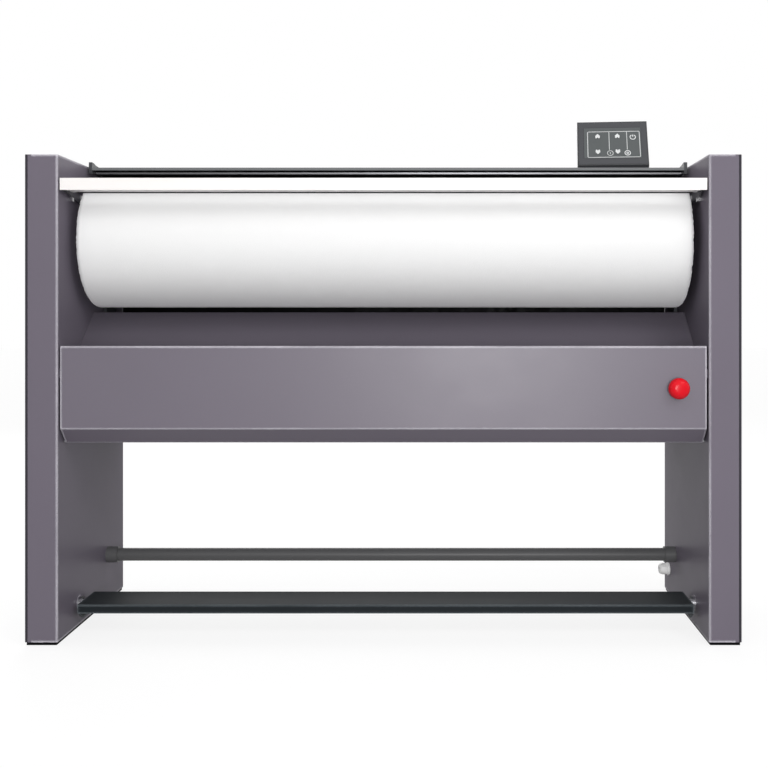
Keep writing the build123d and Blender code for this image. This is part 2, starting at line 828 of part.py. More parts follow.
nose_y, nose_z = chest_cover_nose
toe_y, toe_z = chest_cover_toe
cover_section = [
    (nose_y, nose_z - chest_cover_nose_flange),
    (nose_y, nose_z),
    (chest_cover_ridge, chest_cover_top),
    (chest_cover_back - chest_cover_chamfer, chest_cover_top),
    (chest_cover_back, chest_cover_top - chest_cover_chamfer),
    (chest_cover_back, chest_cover_bottom),
    (toe_y, toe_z),
]
with BuildPart() as chest_cover:
    with BuildSketch(chest_arc_plane(-chest_half)):
        folded_sheet(cover_section, sheet, Side.RIGHT)
    extrude(amount=2 * chest_half)
chest_cover.part.label = "chest_cover"
export_step(chest_cover.part, "parts/chest_cover.step")

insulation_inner = heater_path + heater_thickness / 2 + insulation_gap
cover_lining = sheet + insulation_cover_gap
with BuildPart() as chest_insulation:
    with BuildSketch(chest_arc_plane(-heater_half)):
        with BuildLine():
            Polyline((0, 0), *cover_section[2:], close=True)
        make_face()
        offset(amount=-cover_lining, kind=Kind.INTERSECTION)
        ring_sector(
            insulation_inner,
            2 * insulation_inner,
            heater_first_angle,
            insulation_front_angle,
            mode=Mode.INTERSECT,
        )
    extrude(amount=2 * heater_half)
chest_insulation.part.label = "chest_insulation"
export_step(chest_insulation.part, "parts/chest_insulation.step")

pivot_local = (chest_pivot_setback - roller_setback, chest_pivot_height - roller_height)
with BuildPart() as chest_end_plates:
    for side_name, side in sides:
        with BuildSketch(chest_arc_plane(side * chest_half)):
            with BuildLine():
                Polyline(
                    (nose_y, nose_z - chest_cover_nose_flange),
                    (nose_y, nose_z + chest_ear_height),
                    (nose_y + chest_ear_width / 2, nose_z + chest_ear_height),
                    (nose_y + chest_ear_width, chest_cover_top),
                    (chest_cover_back - chest_cover_chamfer, chest_cover_top),
                    (chest_cover_back, chest_cover_top - chest_cover_chamfer),
                    (chest_cover_back, chest_cover_bottom),
                    (pivot_local[0] + pivot_boss, pivot_local[1]),
                    (pivot_local[0] + pivot_boss / 2, pivot_local[1] - pivot_boss),
                    (pivot_local[0] - pivot_boss / 2, pivot_local[1] - pivot_boss),
                    (toe_y - pivot_boss, toe_z + pivot_boss),
                    (0, 0),
                    close=True,
                )
            make_face()
            Circle(chest_radius + cut_margin, mode=Mode.SUBTRACT)
        extrude(amount=side * chest_end_plate)
chest_end_plates.part.label = "chest_end_plates"
export_step(chest_end_plates.part, "parts/chest_end_plates.step")

# Stub shafts are welded end on, between the end plates and the levers.
shaft_start = chest_half + chest_end_plate
with BuildPart() as chest_shafts:
    for side_name, side in sides:
        with BuildSketch(chest_plane(side * shaft_start)):
            Circle(pivot_shaft_radius)
        extrude(amount=side * (lever_start - shaft_start))
chest_shafts.part.label = "chest_shafts"
export_step(chest_shafts.part, "parts/chest_shafts.step")

spring_reach = chest_lever_length - spring_inset
spring_plane = lever_start + lever_thickness + link_gap + spring_radius

# Levers are level at half stroke: the chest's tip starts high by half its swing.
with BuildPart() as chest_levers:
    for side_name, side in sides:
        lever_plane = chest_plane(side * lever_start, from_closed=lever_swing)
        with BuildSketch(lever_plane):
            octagon(lever_hub_radius)
            with Locations((-chest_lever_length, 0)):
                octagon(lever_tip_radius)
            make_hull()
        extrude(amount=side * lever_thickness)
        with BuildSketch(lever_plane):
            with Locations((-chest_lever_length, 0)):
                Circle(link_pin_radius)
            with Locations((-spring_reach, 0)):
                octagon(spring_pin_radius)
        extrude(amount=side * (pin_end - lever_start))
chest_levers.part.label = "chest_levers"
export_step(chest_levers.part, "parts/chest_levers.step")

tip_y, tip_z = polar(chest_lever_length, 180 - lever_swing)
link_top_y = chest_pivot_y + tip_y
link_top_z = chest_pivot_height + tip_z
link_bottom_z = pedal_pivot_height + tip_rise
for side_name, side in sides:
    with BuildPart() as pull_rod:
        with BuildSketch(Plane.YZ.offset(side * link_start)):
            with Locations((link_top_y, (link_top_z + link_bottom_z) / 2)):
                Rectangle(link_width, link_top_z - link_bottom_z)
            with Locations((link_top_y, link_top_z), (link_top_y, link_bottom_z)):
                octagon(link_eye_radius)
            with Locations((link_top_y, link_top_z)):
                Circle(link_pin_radius + running_clearance, mode=Mode.SUBTRACT)
            with Locations((link_top_y, link_bottom_z)):
                octagon(link_pin_radius + link_slack, mode=Mode.SUBTRACT)
        extrude(amount=side * link_thickness)
    pull_rod.part.label = f"{side_name}_pull_rod"
    export_step(pull_rod.part, f"parts/{side_name}_pull_rod.step")

# Return springs pull the levers up from studs on the inner walls.
spring_y, spring_rise = polar(spring_reach, 180 - lever_swing)
spring_foot = chest_pivot_height + spring_rise + spring_pin_radius + spring_seat
spring_head = spring_foot + spring_length
with BuildPart() as return_springs:
    for side_name, side in sides:
        with BuildSketch(Plane.XY.offset(spring_foot)):
            with Locations((side * spring_plane, chest_pivot_y + spring_y)):
                octagon(spring_radius)
        extrude(amount=spring_length)
return_springs.part.label = "return_springs"
export_step(return_springs.part, "parts/return_springs.step")

with BuildPart() as spring_studs:
    for side_name, side in sides:
        with BuildSketch(Plane.YZ.offset(side * (inner_x + sheet))):
            with Locations((chest_pivot_y + spring_y, spring_head + spring_pin_radius)):
                octagon(spring_pin_radius)
        extrude(amount=side * (spring_plane + spring_radius - inner_x - sheet))
spring_studs.part.label = "spring_studs"
export_step(spring_studs.part, "parts/spring_studs.step")

with BuildPart() as chest_stops:
    for side_name, side in sides:
        with BuildSketch(chest_arc_plane(side * inner_x)):
            with Locations((chest_cover_back + chest_stop / 2 + body_clearance, 0)):
                Rectangle(chest_stop, chest_stop)
        extrude(amount=-side * (inner_x - chest_half))
chest_stops.part.label = "chest_stops"
export_step(chest_stops.part, "parts/chest_stops.step")

# ---------------------------------------------------------------- foot pedal
pedal_section = [
    on_wall(pedal_front, pedal_top - pedal_lip),
    on_wall(pedal_front, pedal_top),
    on_wall(pedal_rear, pedal_top),
    on_wall(pedal_rear, pedal_top - pedal_rear_lip),
]
pedal_end_x = pedal_half_length - pedal_end_plate
with BuildPart() as pedal_plate:
    with BuildSketch(Plane.YZ.offset(-pedal_half_length)):
        folded_sheet(pedal_section, pedal_sheet, Side.RIGHT, pedal_sheet)
    extrude(amount=2 * pedal_half_length)
    for side_name, side in sides:
        with BuildSketch(Plane.YZ.offset(side * pedal_end_x)):
            with BuildLine():
                Polyline(
                    on_wall(pedal_front + pedal_sheet / 2, pedal_top - pedal_sheet / 2),
                    on_wall(pedal_front + pedal_sheet / 2, pedal_top - pedal_lip),
                    on_wall(pedal_front + pedal_end_foot[0], pedal_top - pedal_end_depth),
                    on_wall(pedal_front + pedal_end_foot[1], pedal_top - pedal_end_depth),
                    on_wall(pedal_rear - pedal_sheet / 2, pedal_top - pedal_rear_lip),
                    on_wall(pedal_rear - pedal_sheet / 2, pedal_top - pedal_sheet / 2),
                    close=True,
                )
            make_face()
        extrude(amount=side * pedal_end_plate)
pedal_plate.part.label = "pedal_plate"
export_step(pedal_plate.part, "parts/pedal_plate.step")

with BuildPart() as pedal_shafts:
    for side_name, side in sides:
        with BuildSketch(Plane.YZ.offset(side * pedal_half_length)):
            with Locations(on_wall(pedal_pivot_setback, pedal_pivot_height)):
                Circle(pedal_shaft_radius)
        extrude(amount=side * (lever_start - pedal_half_length))
pedal_shafts.part.label = "pedal_shafts"
export_step(pedal_shafts.part, "parts/pedal_shafts.step")

# The chest's bushes are blocks behind the inner walls; the pedal's pass through the walls.
with BuildPart() as wall_bushes:
    for side_name, side in sides:
        behind_wall = Plane.YZ.offset(side * (inner_x + sheet))
        with BuildSketch(behind_wall):
            with Locations(on_wall(chest_pivot_setback, chest_pivot_height)):
                octagon(pivot_bush_radius)
                Circle(pivot_shaft_radius + running_clearance, mode=Mode.SUBTRACT)
        extrude(amount=side * bush_length)
        with BuildSketch(Plane.YZ.offset(side * (inner_x - pedal_bush_stand))):
            with Locations(on_wall(pedal_pivot_setback, pedal_pivot_height)):
                Circle(pedal_bush_radius)
                Circle(pedal_shaft_radius + running_clearance, mode=Mode.SUBTRACT)
        extrude(amount=side * (pedal_bush_stand + sheet + bush_length))
wall_bushes.part.label = "wall_bushes"
export_step(wall_bushes.part, "parts/wall_bushes.step")

with BuildPart() as pedal_levers:
    for side_name, side in sides:
        pedal_turn = math.radians(pedal_swing)
        lever_plane = Plane(
            origin=(side * lever_start, pedal_pivot_y, pedal_pivot_height),
            x_dir=(0, math.cos(pedal_turn), -math.sin(pedal_turn)),
            z_dir=(1, 0, 0),
        )
        with BuildSketch(lever_plane):
            octagon(pedal_lever_hub_radius)
            with Locations((-pedal_lever_length, 0)):
                octagon(lever_tip_radius)
            make_hull()
        extrude(amount=side * lever_thickness)
        with BuildSketch(lever_plane):
            with Locations((-pedal_lever_length, 0)):
                RegularPolygon(link_pin_radius, 8)
        extrude(amount=side * (pin_end - lever_start))
pedal_levers.part.label = "pedal_levers"
export_step(pedal_levers.part, "parts/pedal_levers.step")

# ---------------------------------------------------------------- mushroom push button
# Its plane looks at the operator: local Z runs out of the panel.
button_plane = Plane(
    origin=(stop_x, front_y + panel_setback, stop_height), x_dir=(1, 0, 0), z_dir=(0, -1, 0)
)
cap_back = stop_collar + stop_gap
cap_front = cap_back + stop_cap_depth
with BuildPart() as button_collar:
    with BuildSketch(button_plane):
        RegularPolygon(stop_collar_radius, stop_collar_sides)
    extrude(amount=stop_collar)
    with BuildSketch(button_plane):
        octagon(stop_barrel_radius)
    extrude(amount=-stop_barrel_length)
    with BuildSketch(button_plane.offset(-sheet)):
        RegularPolygon(stop_nut_across_flats / 2, 6, major_radius=False)
    extrude(amount=-stop_nut)
    with BuildSketch(button_plane.offset(stop_collar)):
        Rectangle(stop_stem + 2 * hole_clearance, stop_stem + 2 * hole_clearance)
    extrude(amount=-(stop_collar + stop_barrel_length), mode=Mode.SUBTRACT)
button_collar.part.label = "button_collar"
export_step(button_collar.part, "parts/button_collar.step")

stem_inside = stop_barrel_length + stop_block_depth / 2
with BuildPart() as button_stem:
    with BuildSketch(button_plane.offset(cap_back - body_clearance)):
        Rectangle(stop_stem, stop_stem)
    extrude(amount=-(cap_back - body_clearance + stem_inside))
    with BuildSketch(button_plane.offset(cap_back - body_clearance)):
        Circle(stop_nose_radius)
    extrude(amount=stop_nose_length)
button_stem.part.label = "button_stem"
export_step(button_stem.part, "parts/button_stem.step")

cap_plane = Plane(
    origin=(stop_x, front_y + panel_setback, stop_height), x_dir=(1, 0, 0), z_dir=(0, 0, -1)
)
button_axis = Axis((stop_x, front_y + panel_setback, stop_height), (0, -1, 0))
with BuildPart() as button_cap:
    with BuildSketch(cap_plane):
        with BuildLine():
            Polyline(
                (0, cap_front),
                (0, cap_back + stop_nose_length),
                (stop_nose_radius + running_clearance, cap_back + stop_nose_length),
                (stop_nose_radius + running_clearance, cap_back),
                (stop_cap_radius, cap_back),
                (stop_cap_radius, cap_front - stop_cap_edge),
                (stop_cap_shoulder, cap_front),
                close=True,
            )
        make_face()
    revolve(axis=button_axis)
button_cap.part.label = "button_cap"
export_step(button_cap.part, "parts/button_cap.step")

block_start = stop_barrel_length
with BuildPart() as button_contacts:
    with BuildSketch(button_plane.offset(-block_start)):
        Rectangle(*stop_block)
    extrude(amount=-stop_block_depth)
    chamfer(button_contacts.edges().filter_by(Axis.Y), sheet)
    with BuildSketch(button_plane.offset(-block_start)):
        Rectangle(stop_stem + 2 * hole_clearance, stop_stem + 2 * hole_clearance)
    extrude(amount=-(stop_block_depth / 2 + stop_travel + sheet), mode=Mode.SUBTRACT)
button_contacts.part.label = "button_contacts"
export_step(button_contacts.part, "parts/button_contacts.step")

# ---------------------------------------------------------------- control box
yaw = math.radians(box_yaw)
lean = math.radians(box_lean)
half_face_depth = box_face_height / 2 * math.sin(lean)
half_face_rise = box_face_height / 2 * math.cos(lean)
face_centre = (box_x, front_y + box_bottom_setback + half_face_depth, box_bottom_height + half_face_rise)
face_plane = Plane(
    origin=face_centre,
    x_dir=(math.cos(yaw), -math.sin(yaw), 0),
    z_dir=(-math.sin(yaw) * math.cos(lean), -math.cos(yaw) * math.cos(lean), math.sin(lean)),
)
face_axis = Axis(face_plane.origin, face_plane.z_dir)
post_y = front_y + post_setback
post_x = box_x + (post_y - face_centre[1]) * math.tan(yaw)

# Keys, by their place on the face from its centre: two rockers of up and down, power, start, stop.
keys = {
    "up_key_left": (-37.0, 23.0),
    "down_key_left": (-37.0, -31.0),
    "up_key_right": (12.5, 23.0),
    "down_key_right": (12.5, -31.0),
    "power_key": (51.0, 18.0),
    "start_key": (-6.5, -36.0),
    "stop_key": (36.5, -36.0),
}


def key_outlines(mode=Mode.ADD):
    """The outlines of the holes around all the keys."""
    with Locations(*keys.values()):
        Rectangle(key_width + 2 * body_clearance, key_width + 2 * body_clearance, mode=mode)


with BuildPart() as control_housing:
    with BuildSketch(face_plane):
        Rectangle(box_width, box_face_height)
    extrude(amount=-box_depth)
    chamfer(control_housing.faces().sort_by(face_axis)[-1].edges(), box_wall / 2)
    rear_face = control_housing.faces().sort_by(face_axis)[0]
    offset(amount=-box_wall, openings=rear_face)
    with BuildSketch(face_plane):
        Rectangle(overlay_width, overlay_height)
    extrude(amount=-overlay, mode=Mode.SUBTRACT)
    with BuildSketch(face_plane):
        key_outlines()
    extrude(amount=-2 * box_wall, mode=Mode.SUBTRACT)
control_housing.part.label = "control_housing"
export_step(control_housing.part, "parts/control_housing.step")

with BuildPart() as keypad_overlay:
    with BuildSketch(face_plane):
        Rectangle(overlay_width, overlay_height)
        key_outlines(mode=Mode.SUBTRACT)
    extrude(amount=-overlay)
keypad_overlay.part.label = "keypad_overlay"
export_step(keypad_overlay.part, "parts/keypad_overlay.step")

with BuildPart() as control_lid:
    with BuildSketch(face_plane.offset(-box_depth)):
        Rectangle(box_width, box_face_height)
    extrude(amount=-box_lid)
control_lid.part.label = "control_lid"
export_step(control_lid.part, "parts/control_lid.step")

with BuildPart() as circuit_board:
    with BuildSketch(face_plane.offset(-board_depth)):
        Rectangle(box_width - 2 * board_inset, box_face_height - 2 * board_inset)
    extrude(amount=-board)
circuit_board.part.label = "circuit_board"
export_step(circuit_board.part, "parts/circuit_board.step")

# Each key is a cap with a flange under the face and a stem that reaches down to the board.
key_seat = box_wall + body_clearance
stem_depth = board_depth - key_travel - body_clearance
flange_width = key_width + 2 * key_flange_step
for key_name, key_place in keys.items():
    with BuildPart() as key:
        with BuildSketch(face_plane.offset(key_proud)):
            with Locations(key_place):
                Rectangle(key_width, key_width)
        extrude(amount=-(key_proud + key_seat))
        with BuildSketch(face_plane.offset(-key_seat)):
            with Locations(key_place):
                Rectangle(flange_width, flange_width)
        extrude(amount=-key_flange)
        with BuildSketch(face_plane.offset(-key_seat)):
            with Locations(key_place):
                Rectangle(key_stem, key_stem)
        extrude(amount=-(stem_depth - key_seat))
    key.part.label = key_name
    export_step(key.part, f"parts/{key_name}.step")

with BuildPart() as control_post:
    with BuildSketch(Plane.XY.offset(rear_panel_top)):
        with Locations((post_x, post_y)):
            Rectangle(post_flange_square, post_flange_square)
    extrude(amount=post_flange)
    with BuildSketch(Plane.XY.offset(rear_panel_top)):
        with Locations((post_x, post_y)):
            Circle(post_radius)
    extrude(amount=post_top - rear_panel_top)
control_post.part.label = "control_post"
export_step(control_post.part, "parts/control_post.step")

# The swivel arm: a capped collar on the post, a web and a plate on the box's lid.
collar_bottom = post_top + body_clearance - collar_height
arm_plane = face_plane.offset(-(box_depth + box_lid))
web_plane = Plane(
    origin=(post_x, post_y, 0),
    x_dir=(math.sin(yaw), math.cos(yaw), 0),
    z_dir=(math.cos(yaw), -math.sin(yaw), 0),
)
plate_depth = box_depth + box_lid + arm_plate / 2
plate_centre_y = (face_centre[1] - post_y) / math.cos(yaw) + plate_depth * math.cos(lean)
plate_centre_z = face_centre[2] - plate_depth * math.sin(lean)
with BuildPart() as swivel_arm:
    with BuildSketch(Plane.XY.offset(collar_bottom)) as collar_outline:
        with Locations(Location((post_x, post_y, 0), (0, 0, -box_yaw))):
            Rectangle(collar_square, collar_square)
        chamfer(collar_outline.vertices(), collar_corner)
    extrude(amount=collar_height + arm_plate)
    with BuildSketch(arm_plane):
        Rectangle(arm_plate_size, arm_plate_size)
    extrude(amount=-arm_plate)
    with BuildSketch(web_plane.offset(-arm_thickness / 2)):
        with BuildLine():
            Polyline(
                (0, collar_bottom),
                (0, collar_bottom + arm_height),
                (plate_centre_y, plate_centre_z),
                (plate_centre_y - web_front * math.sin(lean), plate_centre_z - web_front * math.cos(lean)),
                close=True,
            )
        make_face()
    extrude(amount=arm_thickness)
    with BuildSketch(Plane.XY.offset(collar_bottom)):
        with Locations((post_x, post_y)):
            Circle(post_radius + running_clearance)
    extrude(amount=post_top + body_clearance - collar_bottom, mode=Mode.SUBTRACT)
swivel_arm.part.label = "swivel_arm"
export_step(swivel_arm.part, "parts/swivel_arm.step")

# ---------------------------------------------------------------- switchgear in the left column
gear_x = -(inner_x + sheet)
with BuildPart() as switchgear:
    with BuildSketch(Plane.YZ.offset(gear_x)):
        with Locations(on_wall(gear_setback, gear_height)):
            Rectangle(*gear_plate)
    extrude(amount=-sheet)
    with BuildSketch(Plane.YZ.offset(gear_x - sheet)):
        with Locations(on_wall(gear_setback, gear_height + contactor_rise)):
            with GridLocations(contactor_spacing, 1, contactor_count, 1):
                Rectangle(contactor[0], contactor[1])
    extrude(amount=-contactor[2])
    with BuildSketch(Plane.YZ.offset(gear_x - sheet)):
        with Locations(on_wall(gear_setback, gear_height - terminal_drop)):
            Rectangle(terminal_strip[0], terminal_strip[1])
    extrude(amount=-terminal_strip[2])
switchgear.part.label = "switchgear"
export_step(switchgear.part, "parts/switchgear.step")
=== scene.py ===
"""Looks of the flatwork ironer: finishes, cloth, printed signs and small fasteners on the CAD frame."""

import json
import math

import bmesh
import bpy
from mathutils import Matrix, Vector, noise


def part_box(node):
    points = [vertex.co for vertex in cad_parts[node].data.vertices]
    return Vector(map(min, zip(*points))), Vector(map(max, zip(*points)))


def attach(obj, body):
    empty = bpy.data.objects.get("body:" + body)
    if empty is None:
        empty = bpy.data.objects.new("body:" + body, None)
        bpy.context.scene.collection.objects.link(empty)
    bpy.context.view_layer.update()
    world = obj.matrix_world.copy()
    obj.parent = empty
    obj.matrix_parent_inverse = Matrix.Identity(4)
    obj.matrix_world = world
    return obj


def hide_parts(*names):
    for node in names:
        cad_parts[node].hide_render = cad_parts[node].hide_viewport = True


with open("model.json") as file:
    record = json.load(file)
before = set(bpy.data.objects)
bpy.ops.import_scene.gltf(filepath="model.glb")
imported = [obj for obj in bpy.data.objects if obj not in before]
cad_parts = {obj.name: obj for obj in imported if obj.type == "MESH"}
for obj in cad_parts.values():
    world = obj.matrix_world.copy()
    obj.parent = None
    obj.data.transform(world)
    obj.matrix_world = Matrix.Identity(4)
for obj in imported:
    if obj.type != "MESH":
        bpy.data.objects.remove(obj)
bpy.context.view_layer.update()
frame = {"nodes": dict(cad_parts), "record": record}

MM = 0.001
X_AXIS = Vector((1, 0, 0))
Z_AXIS = Vector((0, 0, 1))
WHITE = (1.0, 1.0, 1.0, 1.0)


# ---------------------------------------------------------------- colours and shader helpers
def srgb(red, green, blue):
    """An sRGB colour, 0 to 255, as linear RGBA."""
    linear = []
    for channel in (red, green, blue):
        value = channel / 255
        linear.append(value / 12.92 if value <= 0.04045 else ((value + 0.055) / 1.055) ** 2.4)
    return (*linear, 1.0)


def shade(colour, factor):
    """The same colour, lighter or darker."""
    return (*[min(1.0, channel * factor) for channel in colour[:3]], 1.0)


class Shader:
    """A Principled material with the few node patterns that the finishes share."""

    BEVEL_SAMPLES = 4
    EDGE_COSINES = (0.995, 0.95)

    def __init__(self, name, roughness, metallic=0.0, **sockets):
        self.material = bpy.data.materials.new(name)
        self.material.use_nodes = True
        self.tree = self.material.node_tree
        self.surface = self.tree.nodes["Principled BSDF"]
        self.surface.inputs["Roughness"].default_value = roughness
        self.surface.inputs["Metallic"].default_value = metallic
        for socket, value in sockets.items():
            self.surface.inputs[socket.replace("_", " ")].default_value = value
        self.place = self.node("ShaderNodeTexCoord").outputs["Object"]

    def node(self, kind, **settings):
        made = self.tree.nodes.new(kind)
        for setting, value in settings.items():
            setattr(made, setting, value)
        return made

    def link(self, source, target):
        self.tree.links.new(source, target)

    def fill(self, socket, value):
        """Gives a socket a plain value, or links another node's output to it."""
        if isinstance(value, bpy.types.NodeSocket):
            self.link(value, socket)
        else:
            socket.default_value = value

    def split(self, vector):
        """The X, Y and Z outputs of a vector."""
        made = self.node("ShaderNodeSeparateXYZ")
        self.link(vector, made.inputs["Vector"])
        return made.outputs

    def stretched(self, scale):
        """Object coordinates scaled along each axis, in features per metre."""
        mapping = self.node("ShaderNodeMapping")
        mapping.inputs["Scale"].default_value = scale
        self.link(self.place, mapping.inputs["Vector"])
        return mapping.outputs["Vector"]

    def noise(self, scale, detail=3.0, roughness=0.55):
        """Noise between 0 and 1; scale is one number or three, in features per metre."""
        scale = (scale,) * 3 if isinstance(scale, (int, float)) else scale
        texture = self.node("ShaderNodeTexNoise")
        texture.inputs["Scale"].default_value = 1.0
        texture.inputs["Detail"].default_value = detail
        texture.inputs["Roughness"].default_value = roughness
        self.link(self.stretched(scale), texture.inputs["Vector"])
        return texture.outputs["Fac"]

    def math(self, operation, first, second=0.0):
        made = self.node("ShaderNodeMath", operation=operation)
        self.fill(made.inputs[0], first)
        self.fill(made.inputs[1], second)
        return made.outputs["Value"]

    def remap(self, value, span, target=(0.0, 1.0)):
        """Takes a value from one span of numbers to another and holds it there."""
        made = self.node("ShaderNodeMapRange")
        for socket, number in zip(("From Min", "From Max", "To Min", "To Max"), (*span, *target)):
            made.inputs[socket].default_value = number
        self.link(value, made.inputs["Value"])
        return made.outputs["Result"]

    def blend(self, factor, first, second):
        """A colour between two colours, each a value or a socket."""
        made = self.node("ShaderNodeMix", data_type="RGBA")
        self.link(factor, made.inputs["Factor"])
        self.fill(made.inputs[6], first)
        self.fill(made.inputs[7], second)
        return made.outputs[2]

    def tones(self, factor, colour, darkest, lightest):
        """One colour between a darker and a lighter shade of itself."""
        return self.blend(factor, shade(colour, darkest), shade(colour, lightest))

    def edges(self, radius):
        """1 along sharp outer and inner edges, 0 on the flats."""
        rounded = self.node("ShaderNodeBevel", samples=self.BEVEL_SAMPLES)
        rounded.inputs["Radius"].default_value = radius
        flat = self.node("ShaderNodeNewGeometry")
        turned = self.node("ShaderNodeVectorMath", operation="DOT_PRODUCT")
        self.link(rounded.outputs["Normal"], turned.inputs[0])
        self.link(flat.outputs["True Normal"], turned.inputs[1])
        return self.remap(turned.outputs["Value"], self.EDGE_COSINES)

    def faces(self, axis):
        """The surface normal's part along an object axis, -1 to 1."""
        return self.split(self.node("ShaderNodeTexCoord").outputs["Normal"])[axis]

    def colour(self, value):
        self.fill(self.surface.inputs["Base Color"], value)

    def roughness(self, value):
        self.link(value, self.surface.inputs["Roughness"])

    def bump(self, *layers):
        """Stacks (height, depth in millimetres) layers into the surface normal."""
        normal = None
        for height, depth in layers:
            made = self.node("ShaderNodeBump")
            made.inputs["Strength"].default_value = 1.0
            made.inputs["Distance"].default_value = depth * MM
            self.link(height, made.inputs["Height"])
            if normal is not None:
                self.link(normal, made.inputs["Normal"])
            normal = made.outputs["Normal"]
        self.link(normal, self.surface.inputs["Normal"])


# ---------------------------------------------------------------- finishes
EDGE_RADIUS = 6 * MM
# Light colour for the rims along bends: partly rub wear, partly a painted highlight where the bends catch
# light.
EDGE_WEAR_AND_HIGHLIGHT = srgb(228, 225, 233)
COVERED_RIM = 776 * MM
COVERED_FADE = 2 * MM


def powder_coat(
    name, colour, roughness, peel=0.02, mottle=0.06, wear_and_sheen=0.0, rim=EDGE_WEAR_AND_HIGHLIGHT, edge_shade=None, gloss=0.2
):
    """Sprayed paint: orange peel, slight clouds, fine dust, and rims lightened in patches along the bends,
    partly rub wear and partly painted highlight; a second colour paints the sheet's edge faces dark as
    painted shade at the seams.
    """
    paint = Shader(name, roughness, Specular_IOR_Level=gloss)
    cloud = paint.noise(scale=2.3, detail=2.0)
    dust = paint.noise(scale=900.0, detail=1.0)
    tone = paint.tones(cloud, colour, darkest=1 - mottle, lightest=1 + mottle)
    dusty = paint.remap(dust, span=(0.62, 0.75), target=(0.0, 0.25))
    tone = paint.blend(dusty, tone, shade(colour, 1.35))
    # Bent edges turn lighter in patches: partly rub wear, partly a painted highlight on the bends.
    if wear_and_sheen:
        patches = paint.remap(paint.noise(scale=6.0, detail=4.0), span=(0.25, 0.6), target=(0.55, 1.0))
        across = paint.math("ABSOLUTE", paint.split(paint.place)["X"])
        open_rim = paint.remap(across, span=(COVERED_RIM - COVERED_FADE, COVERED_RIM), target=(wear_and_sheen, 0.0))
        rim_wear_and_highlight = paint.math("MULTIPLY", patches, open_rim)
        tone = paint.blend(paint.math("MULTIPLY", paint.edges(EDGE_RADIUS), rim_wear_and_highlight), tone, rim)
    # Faces that do not point sideways, the sheet's thin edges, take a dark colour: painted shade along the
    # seams.
    if edge_shade:
        sideways = paint.math("ABSOLUTE", paint.faces("X"))
        tone = paint.blend(paint.remap(sideways, span=(0.5, 0.6), target=(1.0, 0.0)), tone, edge_shade)
    paint.colour(tone)
    rubbed = paint.noise(scale=(9.0, 12.0, 16.0), detail=5.0, roughness=0.7)
    paint.roughness(paint.remap(rubbed, span=(0.3, 0.7), target=(roughness - 0.015, roughness + 0.02)))
    coarse_peel = paint.noise(scale=420.0, detail=2.0)
    fine_peel = paint.noise(scale=1500.0, detail=1.0)
    paint.bump((coarse_peel, peel), (fine_peel, peel / 3))
    return paint.material


def brushed_metal(name, colour, roughness, grain):
    """Metal with fine lines; grain is the noise scale along X, Y and Z."""
    metal = Shader(name, roughness, metallic=1.0)
    lines = metal.noise(grain, detail=4.0, roughness=0.7)
    smudge = metal.noise(scale=7.0, detail=4.0)
    metal.colour(metal.tones(lines, colour, darkest=0.86, lightest=1.1))
    line_share, smudge_share, line_depth = 0.12, 0.14, 0.01
    smoothest = roughness - 0.12
    wear_and_sheen = metal.math(
        "ADD", metal.math("MULTIPLY", lines, line_share), metal.math("MULTIPLY", smudge, smudge_share)
    )
    metal.roughness(metal.math("ADD", wear_and_sheen, smoothest))
    metal.bump((lines, line_depth))
    return metal.material


def cast_metal(name, colour, roughness):
    """Painted casting: coarse skin with darker pits."""
    cast = Shader(name, roughness, metallic=0.3)
    skin = cast.noise(scale=260.0, detail=6.0, roughness=0.65)
    pits = cast.noise(scale=34.0)
    cast.colour(cast.tones(pits, colour, darkest=0.7, lightest=1.15))
    cast.roughness(cast.remap(skin, span=(0.2, 0.8), target=(roughness - 0.12, roughness + 0.12)))
    skin_depth, pit_depth = 0.25, 0.4
    cast.bump((skin, skin_depth), (pits, pit_depth))
    return cast.material


def galvanised_sheet(name, colour, inner=None):
    """Zinc-coated sheet with its spangle of crystals; inner colours the side that faces the front, where it
    serves as painted shade.
    """
    zinc = Shader(name, roughness=0.42, metallic=0.9)
    crystals_per_metre, ripple_depth = 75.0, 0.05
    cells = zinc.node("ShaderNodeTexVoronoi", feature="F1")
    cells.inputs["Scale"].default_value = 1.0
    zinc.link(zinc.stretched((crystals_per_metre,) * 3), cells.inputs["Vector"])
    crystal = zinc.node("ShaderNodeSeparateColor")
    zinc.link(cells.outputs["Color"], crystal.inputs["Color"])
    tone = zinc.tones(crystal.outputs["Red"], colour, darkest=0.9, lightest=1.06)
    # The front-facing side can take another colour; near-black here is painted shade.
    if inner:
        tone = zinc.blend(zinc.remap(zinc.faces("Y"), span=(-0.6, -0.5), target=(1.0, 0.0)), tone, inner)
    zinc.colour(tone)
    zinc.roughness(zinc.remap(crystal.outputs["Green"], span=(0.0, 1.0), target=(0.34, 0.56)))
    zinc.bump((zinc.noise(scale=60.0), ripple_depth))
    return zinc.material


def moulded_plastic(name, colour, roughness, texture=0.03, **sockets):
    """Moulded plastic with a fine spark-eroded texture."""
    plastic = Shader(name, roughness, **sockets)
    grain = plastic.noise(scale=1400.0, detail=2.0)
    haze = plastic.noise(scale=18.0)
    plastic.colour(plastic.tones(haze, colour, darkest=0.93, lightest=1.06))
    plastic.roughness(plastic.remap(haze, span=(0.3, 0.7), target=(roughness - 0.04, roughness + 0.05)))
    plastic.bump((grain, texture))
    return plastic.material


